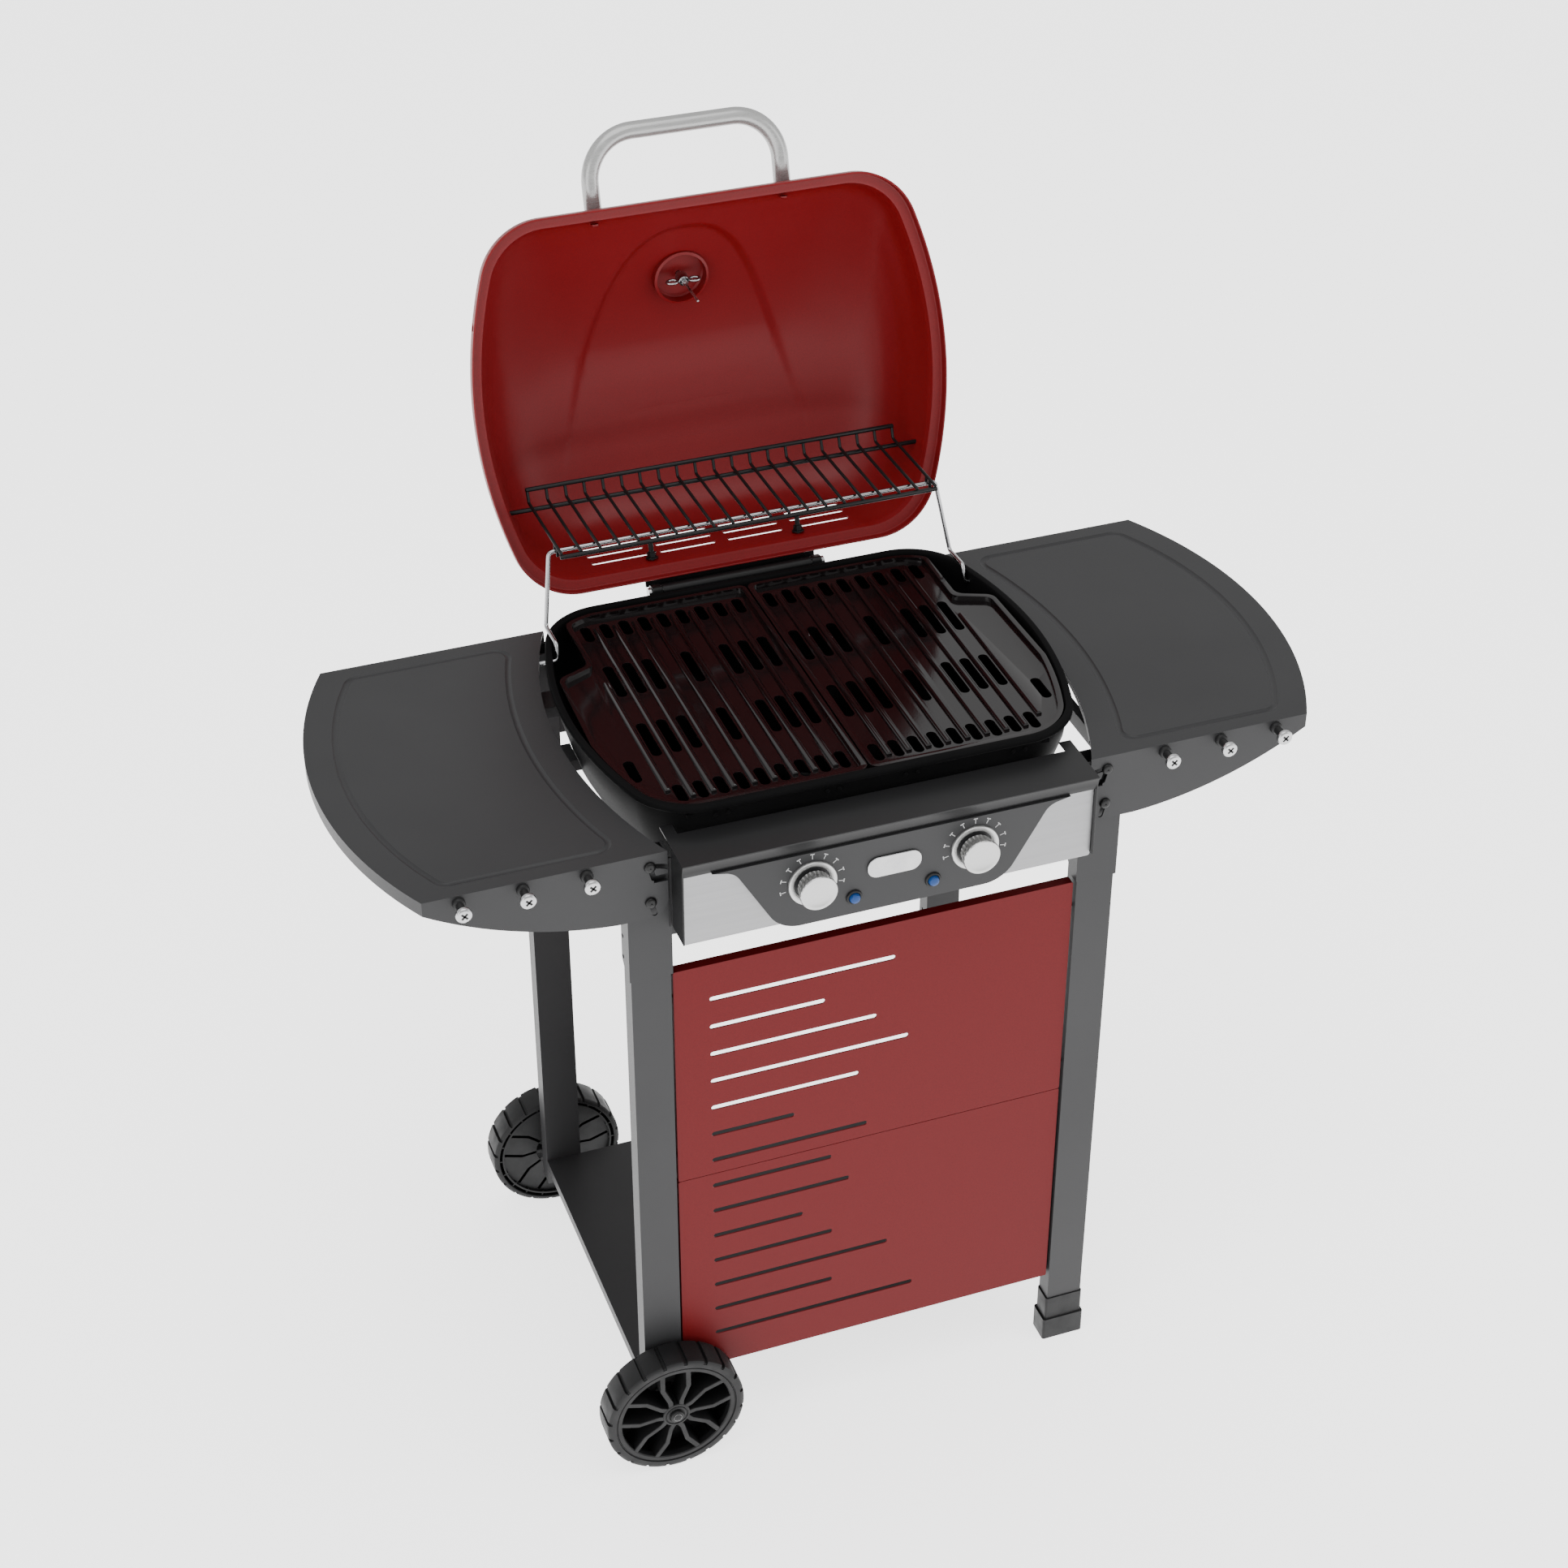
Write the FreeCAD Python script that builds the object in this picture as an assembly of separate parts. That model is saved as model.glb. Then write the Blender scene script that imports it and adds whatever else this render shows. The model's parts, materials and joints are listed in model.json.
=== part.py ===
import FreeCAD, Part
import math
import os

# Gas barbecue grill on a four-leg cart, lid open, both side shelves up.
# Millimetres. X to the right, Y to the back, Z up; the front faces -Y.
# Everything is drawn from a point on the floor midway between the four legs, then moved
# forward so that the origin is the bottom centre of the whole bounding box.

V = FreeCAD.Vector
os.makedirs("parts", exist_ok=True)

# ---- driving dimensions: cart -------------------------------------------------------------
ORIGIN_Y = 86.95             # bounding box centre, behind the middle of the legs
SHELF_TOP = 890.0            # height of both side shelves and of the control panel cover
LEG_IN, LEG_OUT = 240.0, 285.0   # inner and outer faces of the legs, from the middle
LEG_FACE = 220.5             # front and rear faces of the legs, from the middle
LEG_DEPTH = 24.0
LEG_TOP = 880.0
LEG_WALL = 1.6
FOOT_TOP = 67.5              # right legs stand on two-step plastic feet
FOOT_STEP = 33.0
LEFT_LEG_BOTTOM = 66.0
SLEEVE_BOTTOM = 720.0
SLEEVE_WALL = 2.0
SLEEVE_FACE = LEG_FACE + SLEEVE_WALL
SHEET = 1.6                  # cart panels
DECK_TOP = 106.0             # bottom shelf
PANEL_HALF = 237.0           # red front panels
PANEL_FACE = -218.0
PANEL_BOTTOM, PANEL_SEAM, PANEL_TOP = 107.0, 412.2, 717.0
RAIL_BOTTOM, RAIL_TOP = 766.0, 796.0     # cross rails between the legs
SIDE_RAIL_TOP = 858.0

# ---- wheels -------------------------------------------------------------------------------
WHEEL_R, WHEEL_W = 85.5, 39.0
AXLE_R = 5.0
AXLE_X = -261.0
RUNNING = 0.08               # radial clearance of turning fits
FRONT_WHEEL_Y = -263.0       # outer face of the front wheel
REAR_WHEEL_Y = 273.5         # outer face of the rear wheel

# ---- side shelves -------------------------------------------------------------------------
SHELF_SHEET = 2.0
SHELF_HALF_DEPTH = 229.5
SHELF_CORNER_X = 506.5       # where the outer arc meets the front and back edges
SHELF_BULGE_X = 566.0        # widest point of the outer arc
SHELF_INNER_X = 243.0        # inner corners
SHELF_INNER_MID_X = 292.0    # inner arc at mid depth
SHELF_LIP = 17.0
PIVOT_X, PIVOT_Z = 262.7, 828.0      # lower screws, the fold axis
TOP_SCREW_Z = 874.0
SLOT_DX, SLOT_DZ = 4.2, 16.0         # lift of the shelf along its slots
SCREW_R = 2.5
HOOK_XS = (331.5, 400.0, 468.0)
HOOK_Z = 881.0

# ---- firebox and grates -------------------------------------------------------------------
RIM_TOP = 915.0
RIM_FRONT, RIM_BACK, RIM_SIDE = -202.0, 226.0, 284.0
TUB_BULGE = 0.11             # bow of the sides, as a part of the depth
TUB_WALL = 3.0
GRATE_Z = 903.0              # underside of the grates
GRATE_SHEET = 2.6
GRATE_RIM_TOP = 912.0
SLOT_PITCH = 23.05
SLOT_FIRST = 19.5
SLOT_W = 11.7
BURNER_X = 93.3
BURNER_Z = 812.0

# ---- lid and hinge ------------------------------------------------------------------------
HINGE_Y, HINGE_Z = 244.0, 905.0
LID_OPEN = 105.0             # angle between the closed and the open lid
LID_WALL = 2.0
LIP_BOTTOM, LIP_TOP = 908.0, 922.0
HINGE_HALF = 106.0
PIN_R = 4.0
HANDLE_X, HANDLE_Y, HANDLE_Z, HANDLE_R = 114.0, -284.0, 945.0, 10.0
HANDLE_BEND = 54.0
BOLT_X, BOLT_Z = 92.0, 936.0

# ---- warming rack and its bail (open position) --------------------------------------------
RACK_PIVOT = (311.4, 1004.5)         # y, z
BAIL_PIVOT = (143.0, 903.0)
BAIL_BAR = (209.1, 1006.0)
BAIL_R = 2.5
BAR_R, WIRE_R = 2.75, 1.9
RACK_HALF = 228.0
RACK_WIRES = 21

# ---- control panel ------------------------------------------------------------------------
PLATE_Y = -254.5
PLATE_BOTTOM = 781.0
FASCIA_Y = -261.5
KNOB_X, KNOB_Z = 93.3, 833.0
BUTTON_X, BUTTON_Z = 45.6, 801.5


# ---- shape helpers ------------------------------------------------------------------------
def box(x0, x1, y0, y1, z0, z1):
    return Part.makeBox(x1 - x0, y1 - y0, z1 - z0, V(x0, y0, z0))


def cyl(r, start, end):
    a, b = V(*start), V(*end)
    return Part.makeCylinder(r, (b - a).Length, a, b - a)


def tube(r_out, r_in, start, end):
    return cyl(r_out, start, end).cut(cyl(r_in, start, end))


def fuse(shapes):
    shapes = list(shapes)
    if len(shapes) == 1:
        return shapes[0]
    return shapes[0].multiFuse(shapes[1:]).removeSplitter()


def group(shapes):
    return Part.makeCompound(list(shapes))


def flip_x(shape):
    return shape.mirror(V(0, 0, 0), V(1, 0, 0))


def flip_y(shape):
    return shape.mirror(V(0, 0, 0), V(0, 1, 0))


def save(name, shape):
    moved = shape.copy()
    moved.translate(V(0, -ORIGIN_Y, 0))
    moved.exportStep("parts/" + name + ".step")


def unit(v):
    return v * (1.0 / v.Length)


def rounded_wire(points, radii):
    """Closed wire through 3-D points, each corner rounded by its radius."""
    n = len(points)
    radii = radii if isinstance(radii, (list, tuple)) else [radii] * n
    edges, start, last = [], None, None
    for i in range(n):
        p, q, r = points[i - 1], points[i], points[(i + 1) % n]
        a, b = unit(p - q), unit(r - q)
        angle = math.acos(max(-1.0, min(1.0, a.dot(b))))
        if radii[i] > 0 and abs(math.pi - angle) > 1e-3:
            reach = radii[i] / math.tan(angle / 2)
            t1, t2 = q + a * reach, q + b * reach
            middle = q + unit(a + b) * (radii[i] / math.sin(angle / 2) - radii[i])
            arc = Part.Arc(t1, middle, t2).toShape()
        else:
            t1, t2, arc = q, q, None
        if last is None:
            start = t1
        elif (t1 - last).Length > 1e-6:
            edges.append(Part.makeLine(last, t1))
        if arc:
            edges.append(arc)
        last = t2
    if (start - last).Length > 1e-6:
        edges.append(Part.makeLine(last, start))
    return Part.Wire(edges)


def plate(points, radii, axis, low, high):
    """Flat plate: 2-D points in the plane across the axis, extruded from low to high."""
    lift = {"x": lambda u, w: V(low, u, w), "y": lambda u, w: V(u, low, w),
            "z": lambda u, w: V(u, w, low)}[axis]
    along = {"x": V(1, 0, 0), "y": V(0, 1, 0), "z": V(0, 0, 1)}[axis]
    face = Part.Face(rounded_wire([lift(u, w) for u, w in points], radii))
    return face.extrude(along * (high - low))


def slot(x0, x1, y0, y1, z0, z1):
    """Cutter with round ends: a stadium along its longer side of X and Y, through z0 to z1."""
    r = min(x1 - x0, y1 - y0) / 2
    return plate([(x0, y0), (x1, y0), (x1, y1), (x0, y1)], r * 0.999, "z", z0, z1)


def panel_slot(x0, x1, z0, z1, y0, y1):
    """Cutter with round ends in an upright panel, through y0 to y1."""
    r = min(x1 - x0, z1 - z0) / 2
    return plate([(x0, z0), (x1, z0), (x1, z1), (x0, z1)], r * 0.999, "y", y0, y1)


def bent_rod(points, r, bend):
    """Round rod along 3-D points, every inner corner bent to the given radius."""
    pts = [V(*p) for p in points]
    edges, last = [], pts[0]
    for i in range(1, len(pts) - 1):
        a, b = unit(pts[i - 1] - pts[i]), unit(pts[i + 1] - pts[i])
        angle = math.acos(max(-1.0, min(1.0, a.dot(b))))
        reach = bend / math.tan(angle / 2)
        t1, t2 = pts[i] + a * reach, pts[i] + b * reach
        middle = pts[i] + unit(a + b) * (bend / math.sin(angle / 2) - bend)
        edges.append(Part.makeLine(last, t1))
        edges.append(Part.Arc(t1, middle, t2).toShape())
        last = t2
    edges.append(Part.makeLine(last, pts[-1]))
    ring = Part.Wire(Part.makeCircle(r, pts[0], pts[1] - pts[0]))
    return Part.Wire(edges).makePipeShell([ring], True, False)


def bowed_outline(z, front, back, side, corner, bulge=TUB_BULGE):
    """Rounded rectangle with bowed sides, the plan of the firebox and the lid."""
    drop = bulge * (back - front)
    mid = (front + back) / 2
    a, b = V(side - drop, front, z), V(side - drop, back, z)
    c, d = V(drop - side, back, z), V(drop - side, front, z)
    edges = [Part.makeLine(d, a), Part.Arc(a, V(side, mid, z), b).toShape(),
             Part.makeLine(b, c), Part.Arc(c, V(-side, mid, z), d).toShape()]
    solid = Part.Face(Part.Wire(edges)).extrude(V(0, 0, 1))
    upright = [e for e in solid.Edges if abs(e.tangentAt(e.FirstParameter).z) > 0.99]
    solid = solid.makeFillet(corner, upright)
    base = min(solid.Faces, key=lambda f: f.CenterOfMass.z)
    return base.OuterWire


def bowed_loft(rows):
    """Solid through bowed outlines; each row is z, front, back, side, corner."""
    return Part.makeLoft([bowed_outline(*row) for row in rows], True, False)


def bowed_prism(z0, z1, front, back, side, corner):
    return Part.Face(bowed_outline(z0, front, back, side, corner)).extrude(V(0, 0, z1 - z0))


def inset(rows, wall, lower=0.0):
    return [(z - lower, f + wall, b - wall, s - wall, max(c - wall, 4.0)) for z, f, b, s, c in rows]


def opened(shape):
    """Turn a piece drawn on the closed lid to the open position."""
    out = shape.copy()
    out.rotate(V(0, HINGE_Y, HINGE_Z), V(1, 0, 0), -LID_OPEN)
    return out


# ---- cart ---------------------------------------------------------------------------------
FRAME_SCREW_R = 2.2
PANEL_SCREW_Y = -211.0
PANEL_SCREW_ZS = (150, 370, 450, 680)
DECK_SCREW_XS = (251, 274)
DECK_SCREW_Z = 98.0


def frame_shanks():
    """Shanks of the screws that hold the front panels and the bottom shelf to the legs."""
    back = LEG_DEPTH - LEG_FACE
    right = [cyl(FRAME_SCREW_R, (PANEL_HALF - SHEET, PANEL_SCREW_Y, z),
                 (LEG_IN + LEG_WALL, PANEL_SCREW_Y, z)) for z in PANEL_SCREW_ZS]
    for x in DECK_SCREW_XS:
        shank = cyl(FRAME_SCREW_R, (x, back + SHEET, DECK_SCREW_Z), (x, back - LEG_WALL, DECK_SCREW_Z))
        right += [shank, flip_y(shank)]
    return group(right + [flip_x(s) for s in right])


def leg(bottom):
    outer = box(LEG_IN, LEG_OUT, -LEG_FACE, -LEG_FACE + LEG_DEPTH, bottom, LEG_TOP)
    inner = box(LEG_IN + LEG_WALL, LEG_OUT - LEG_WALL, -LEG_FACE + LEG_WALL,
                -LEG_FACE + LEG_DEPTH - LEG_WALL, bottom - 1, LEG_TOP + 1)
    drill = [cyl(SCREW_R, (PIVOT_X, -LEG_FACE - 1, z), (PIVOT_X, -LEG_FACE + 4, z))
             for z in (PIVOT_Z, TOP_SCREW_Z)]
    return outer.cut(inner).cut(fuse(drill)).cut(frame_shanks())


def make_legs():
    right, left = leg(FOOT_TOP - 30), flip_x(leg(LEFT_LEG_BOTTOM))
    bore = cyl(AXLE_R + 0.05, (AXLE_X, -300, WHEEL_R), (AXLE_X, 0, WHEEL_R))
    left = left.cut(bore)
    save("front_right_leg", right)
    save("rear_right_leg", flip_y(right))
    save("front_left_leg", left)
    save("rear_left_leg", flip_y(left))


def sleeve():
    """U-shaped reinforcing sleeve round the top of the front right leg."""
    y0, y1 = -SLEEVE_FACE, -LEG_FACE + LEG_DEPTH
    body = box(LEG_IN - SLEEVE_WALL, LEG_OUT + SLEEVE_WALL, y0, y1, SLEEVE_BOTTOM, LEG_TOP)
    body = body.cut(box(LEG_IN, LEG_OUT, -LEG_FACE, y1 + 1, SLEEVE_BOTTOM - 1, LEG_TOP + 1))
    chamfer = plate([(y1 - 16, SLEEVE_BOTTOM - 1), (y1 + 1, SLEEVE_BOTTOM - 1),
                     (y1 + 1, SLEEVE_BOTTOM + 18)], 0, "x", LEG_IN - 9, LEG_OUT + 9)
    holes = [cyl(SCREW_R, (PIVOT_X, y0 - 1, z), (PIVOT_X, y0 + 4, z))
             for z in (PIVOT_Z, TOP_SCREW_Z)]
    holes += [cyl(2.6, (LEG_IN - 9, y1 - 5.5, z), (LEG_OUT + 9, y1 - 5.5, z)) for z in (742, 770)]
    return body.cut(chamfer).cut(fuse(holes))


def make_sleeves():
    one = sleeve()
    save("leg_sleeves", group([one, flip_x(one), flip_y(one), flip_x(flip_y(one))]))


def foot():
    """Two-step plastic foot pushed over the leg's end."""
    lower = plate([(235.5, -224), (289.5, -224), (289.5, -193), (235.5, -193)], 3, "z", 0, FOOT_STEP)
    upper = plate([(238, -222), (287, -222), (287, -195), (238, -195)], 3, "z", FOOT_STEP, FOOT_TOP)
    socket = box(LEG_IN, LEG_OUT, -LEG_FACE, -LEG_FACE + LEG_DEPTH, FOOT_TOP - 30, FOOT_TOP + 1)
    return fuse([lower, upper]).cut(socket)


def make_feet():
    save("front_right_foot", foot())
    save("rear_right_foot", flip_y(foot()))


def make_rails():
    """Two cross rails between the legs, and an angle rail outside the sleeves on each side."""
    half = LEG_IN - SLEEVE_WALL
    rail = box(-half, half, -214, -198, RAIL_BOTTOM, RAIL_TOP)
    rail = rail.cut(box(-half - 1, half + 1, -212, -200, RAIL_BOTTOM + 2, RAIL_TOP - 2))
    save("cross_rails", group([rail, flip_y(rail)]))
    x0 = LEG_OUT + SLEEVE_WALL
    web = box(x0, x0 + 2, -LEG_FACE, LEG_FACE, SIDE_RAIL_TOP - 20, SIDE_RAIL_TOP)
    ledge = box(x0, x0 + 10, -LEG_FACE, LEG_FACE, SIDE_RAIL_TOP - 2, SIDE_RAIL_TOP)
    right = fuse([web, ledge])
    save("right_side_rail", right)
    save("left_side_rail", flip_x(right))


def make_firebox_brackets():
    """Folded straps that carry the firebox from the side rails."""
    straps = []
    for y0, inner in ((6.0, 262.0), (116.0, 249.0)):
        top = box(inner, LEG_OUT + 12, y0, y0 + 34, SIDE_RAIL_TOP, SIDE_RAIL_TOP + 2)
        front = box(inner, LEG_OUT, y0, y0 + 2, SIDE_RAIL_TOP - 13, SIDE_RAIL_TOP + 2)
        strap = fuse([top, front]).cut(firebox_envelope())
        straps += [strap, flip_x(strap)]
    save("firebox_brackets", group(straps))


def make_deck():
    """Bottom shelf: a tray of sheet with its edges turned down."""
    y = LEG_FACE - LEG_DEPTH
    skin = box(-LEG_OUT, LEG_OUT, -y, y, DECK_TOP - 15, DECK_TOP)
    hollow = box(SHEET - LEG_OUT, LEG_OUT - SHEET, SHEET - y, y - SHEET,
                 DECK_TOP - 16, DECK_TOP - SHEET)
    save("bottom_shelf", skin.cut(hollow).cut(frame_shanks()))


# Length of each vent slot in the front panels, from the top slot down.
VENT_LENGTHS = (219, 135.5, 198, 237.5, 177.5, 99.5, 189, 145.5, 168, 110.5, 147.5, 218, 148, 252)
VENT_LEFT = -196.0
VENT_TOP_Z, VENT_PITCH, VENT_H = 668.5, 39.25, 6.4


def front_panel(bottom, top):
    """Sheet panel with returned edges and the vent slots that fall on it."""
    skin = plate([(-PANEL_HALF, bottom), (PANEL_HALF, bottom), (PANEL_HALF, top), (-PANEL_HALF, top)],
                 2, "y", PANEL_FACE, PANEL_FACE + 12)
    hollow = box(SHEET - PANEL_HALF, PANEL_HALF - SHEET, PANEL_FACE + SHEET, PANEL_FACE + 13,
                 bottom + SHEET, top - SHEET)
    panel = skin.cut(hollow)
    cutters = []
    for i, length in enumerate(VENT_LENGTHS):
        z = VENT_TOP_Z - VENT_PITCH * i
        if bottom < z < top:
            cutters.append(panel_slot(VENT_LEFT, VENT_LEFT + length, z - VENT_H / 2, z + VENT_H / 2,
                                      PANEL_FACE - 1, PANEL_FACE + 4))
    return panel.cut(group(cutters)).cut(frame_shanks())


def make_front_panels():
    save("front_panel_lower", front_panel(PANEL_BOTTOM, PANEL_SEAM - 0.4))
    save("front_panel_upper", front_panel(PANEL_SEAM + 0.4, PANEL_TOP))


def make_frame_screws():
    heads = [cyl(4.2, (PANEL_HALF - SHEET - 2.4, PANEL_SCREW_Y, z), (PANEL_HALF - SHEET, PANEL_SCREW_Y, z))
             for z in PANEL_SCREW_ZS]
    back = LEG_DEPTH - LEG_FACE
    for x in DECK_SCREW_XS:
        head = cyl(4.2, (x, back + SHEET, DECK_SCREW_Z), (x, back + SHEET + 2.4, DECK_SCREW_Z))
        heads += [head, flip_y(head)]
    heads += [flip_x(h) for h in heads]
    shanks = frame_shanks().Solids
    save("frame_screws", group([fuse([h, min(shanks, key=lambda s: (s.CenterOfMass - h.CenterOfMass).Length)])
                                for h in heads]))


# ---- wheels -------------------------------------------------------------------------------
HUB_R, WHEEL_BORE = 17.0, AXLE_R + RUNNING
TREAD_BLOCKS = 20
RIM_R, WINDOW_R = 72.0, 67.5             # inside of the tread, and inside of the face ring
FLANGE_FRONT, FLANGE_BACK = 0.8, 12.0
SPOKE_FRONT, SPOKE_BACK = 1.2, 33.0
SPOKE_WIDTH = 6.4
SPOKE_PATH = [(6.0, 12.0), (7.0, 22.0), (16.0, 43.5), (16.0, 70.0)]   # half spacing, radius


def sector(r0, r1, start, end, y0, y1):
    """Cutter between two radii and two angles, about the Y axis."""
    def at(r, deg):
        return V(r * math.cos(math.radians(deg)), y0, r * math.sin(math.radians(deg)))
    mid = (start + end) / 2
    wire = Part.Wire([Part.makeLine(at(r0, start), at(r1, start)),
                      Part.Arc(at(r1, start), at(r1, mid), at(r1, end)).toShape(),
                      Part.makeLine(at(r1, end), at(r0, end)),
                      Part.Arc(at(r0, end), at(r0, mid), at(r0, start)).toShape()])
    return Part.Face(wire).extrude(V(0, y1 - y0, 0))


def spoke(side):
    """One of the two bent spokes of a pair, drawn along +Z."""
    half = SPOKE_WIDTH / 2
    left = [V(side * u - half, SPOKE_FRONT, v) for u, v in SPOKE_PATH]
    right = [V(side * u + half, SPOKE_FRONT, v) for u, v in SPOKE_PATH]
    outline = left + right[::-1]
    wire = Part.makePolygon(outline + outline[:1])
    return Part.Face(wire).extrude(V(0, SPOKE_BACK - SPOKE_FRONT, 0))


def wheel():
    """Moulded wheel with its outer face at y = 0 and its hollow side towards +Y."""
    tread = tube(WHEEL_R, RIM_R, (0, 0, 0), (0, WHEEL_W, 0))
    flange = tube(RIM_R + 1, WINDOW_R, (0, FLANGE_FRONT, 0), (0, FLANGE_BACK, 0))
    hub = tube(HUB_R, WHEEL_BORE, (0, 0, 0), (0, WHEEL_W, 0))
    spokes = []
    for k in range(5):
        for side in (-1, 1):
            bar = spoke(side)
            bar.rotate(V(0, 0, 0), V(0, 1, 0), 72 * k)
            spokes.append(bar)
    body = fuse([tread, flange, hub] + spokes)
    cutters = []
    step = 360.0 / TREAD_BLOCKS
    for k in range(TREAD_BLOCKS):
        groove = box(WHEEL_R - 2.6, WHEEL_R + 2, -1, WHEEL_W + 1, -1.8, 1.8)
        groove.rotate(V(0, 0, 0), V(0, 1, 0), step * (k + 0.5))
        cutters.append(groove)
        cutters.append(sector(75, WHEEL_R - 5, step * k - 6.5, step * k + 6.5, 8, WHEEL_W + 1))
    return body.cut(group(cutters))


def placed(shape, x, y, z):
    out = shape.copy()
    out.translate(V(x, y, z))
    return out


def make_wheels():
    one = wheel()
    save("front_wheel", placed(one, AXLE_X, FRONT_WHEEL_Y, WHEEL_R))
    save("rear_wheel", placed(flip_y(one), AXLE_X, REAR_WHEEL_Y, WHEEL_R))
    a = (AXLE_X, FRONT_WHEEL_Y - 4, WHEEL_R)
    b = (AXLE_X, REAR_WHEEL_Y + 4, WHEEL_R)
    save("axle", cyl(AXLE_R, a, b))
    caps = [tube(12, AXLE_R, (AXLE_X, y0, WHEEL_R), (AXLE_X, y1, WHEEL_R))
            for y0, y1 in ((FRONT_WHEEL_Y - 4, FRONT_WHEEL_Y - 0.5),
                           (REAR_WHEEL_Y + 0.5, REAR_WHEEL_Y + 4))]
    save("axle_caps", group(caps))
    inner_front = FRONT_WHEEL_Y + WHEEL_W + 0.4
    inner_rear = REAR_WHEEL_Y - WHEEL_W - 0.4
    spacers = [tube(9, AXLE_R, (AXLE_X, y0, WHEEL_R), (AXLE_X, y1, WHEEL_R))
               for y0, y1 in ((inner_front, -LEG_FACE), (LEG_FACE, inner_rear))]
    save("axle_spacers", group(spacers))


# ---- firebox ------------------------------------------------------------------------------
# z, front, back, side and corner radius of the tub's outer wall, from the rim down.
TUB_ROWS = [(914.0, -197, 221, 279, 70), (880.0, -193, 217, 275, 70), (840.0, -183, 207, 264, 68),
            (800.0, -166, 190, 244, 62), (776.0, -142, 166, 214, 52), (764.0, -112, 136, 178, 40)]


def firebox_envelope():
    band = bowed_prism(907, RIM_TOP, RIM_FRONT, RIM_BACK, RIM_SIDE, 75)
    return fuse([bowed_loft(TUB_ROWS), band])


def make_firebox():
    body = firebox_envelope()
    inner = inset(TUB_ROWS, TUB_WALL)
    inner[-1] = (TUB_ROWS[-1][0] + TUB_WALL,) + inner[-1][1:]
    body = body.cut(bowed_loft(inner))
    body = body.cut(bowed_prism(912, RIM_TOP + 1, -194, 218, 276, 67))
    lugs = []
    for x in (-200, -60, 60, 200):
        lugs.append(box(x - 9, x + 9, -196.5, -182, 898, GRATE_Z))
        lugs.append(box(x - 9, x + 9, 206, 220.5, 898, GRATE_Z))
    lugs += [box(x - 9, x + 9, y - 5, y + 5, 829, 834) for x in (-BURNER_X - 48, -BURNER_X + 48,
             BURNER_X - 48, BURNER_X + 48) for y in (-175, 198)]
    keep = bowed_loft(TUB_ROWS)
    body = fuse([body] + [lug.common(keep) for lug in lugs])
    holes = [cyl(12.5, (x, -210, BURNER_Z), (x, -150, BURNER_Z)) for x in (-BURNER_X, BURNER_X)]
    holes.append(cyl(BAIL_R + RUNNING, (-290, BAIL_PIVOT[0], BAIL_PIVOT[1]),
                     (290, BAIL_PIVOT[0], BAIL_PIVOT[1])))
    holes.append(cyl(16, (0, 12, 755), (0, 12, 775)))
    holes += [cyl(4, (x + 17, -200, BURNER_Z + 4), (x + 17, -160, BURNER_Z + 4))
              for x in (-BURNER_X, BURNER_X)]
    for x in (-160, -120, 120, 160):
        holes.append(cyl(4, (x, 185, 870), (x, 230, 870)))
    save("firebox", body.cut(group(holes)))


GRATE_EDGE = [(1, -190), (268, -190), (270, -82), (265, 92), (225, 109), (225, 214), (1, 214)]
GRATE_RADII = [10, 82, 60, 14, 14, 24, 10]


def grate_right():
    edge = [V(x, y, 0) for x, y in GRATE_EDGE]
    top = GRATE_Z + GRATE_SHEET
    pan = Part.Face(rounded_wire([p + V(0, 0, GRATE_Z) for p in edge], GRATE_RADII))
    fit = bowed_prism(GRATE_Z - 2, GRATE_RIM_TOP + 2, -191, 214.5, 272.6, 68)
    sheet = pan.extrude(V(0, 0, GRATE_SHEET)).common(fit)
    wall = pan.extrude(V(0, 0, GRATE_RIM_TOP - GRATE_Z)).common(fit)
    inner = [(7, -184), (263, -184), (264, -82), (259.5, 88), (219, 105), (219, 208), (7, 208)]
    inner = plate(inner, [7, 77, 55, 12, 12, 19, 7], "z", GRATE_Z - 1, GRATE_RIM_TOP + 1)
    wall = wall.cut(inner.common(bowed_prism(GRATE_Z - 2, GRATE_RIM_TOP + 2, -185, 208.5, 266.6, 62)))
    ribs, cutters = [], []
    for k in range(9):
        x = SLOT_FIRST + SLOT_PITCH * (k + 0.5)
        y0, y1 = (-150, 73) if k == 8 else (-167, 186)
        rib = box(x - 3, x + 3, y0, y1, top - 0.5, top + 4)
        ribs.append(rib.makeChamfer(1.8, [e for e in rib.Edges if e.BoundBox.ZMin > top + 3.9]))
        x = SLOT_FIRST + SLOT_PITCH * k
        rows = [(180, 32), (-156, 33)]
        if k not in (3, 5):
            rows += [(75, 66), (-48, 67)]
        cutters += [slot(x - SLOT_W / 2, x + SLOT_W / 2, y - n / 2, y + n / 2, GRATE_Z - 1, top + 1)
                    for y, n in rows]
    cutters.append(slot(233.6, 245.4, -122, -80, GRATE_Z - 1, top + 1))
    return fuse([sheet, wall] + ribs).cut(group(cutters))


def make_grates():
    right = grate_right()
    save("right_grate", right)
    save("left_grate", flip_x(right))


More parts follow.
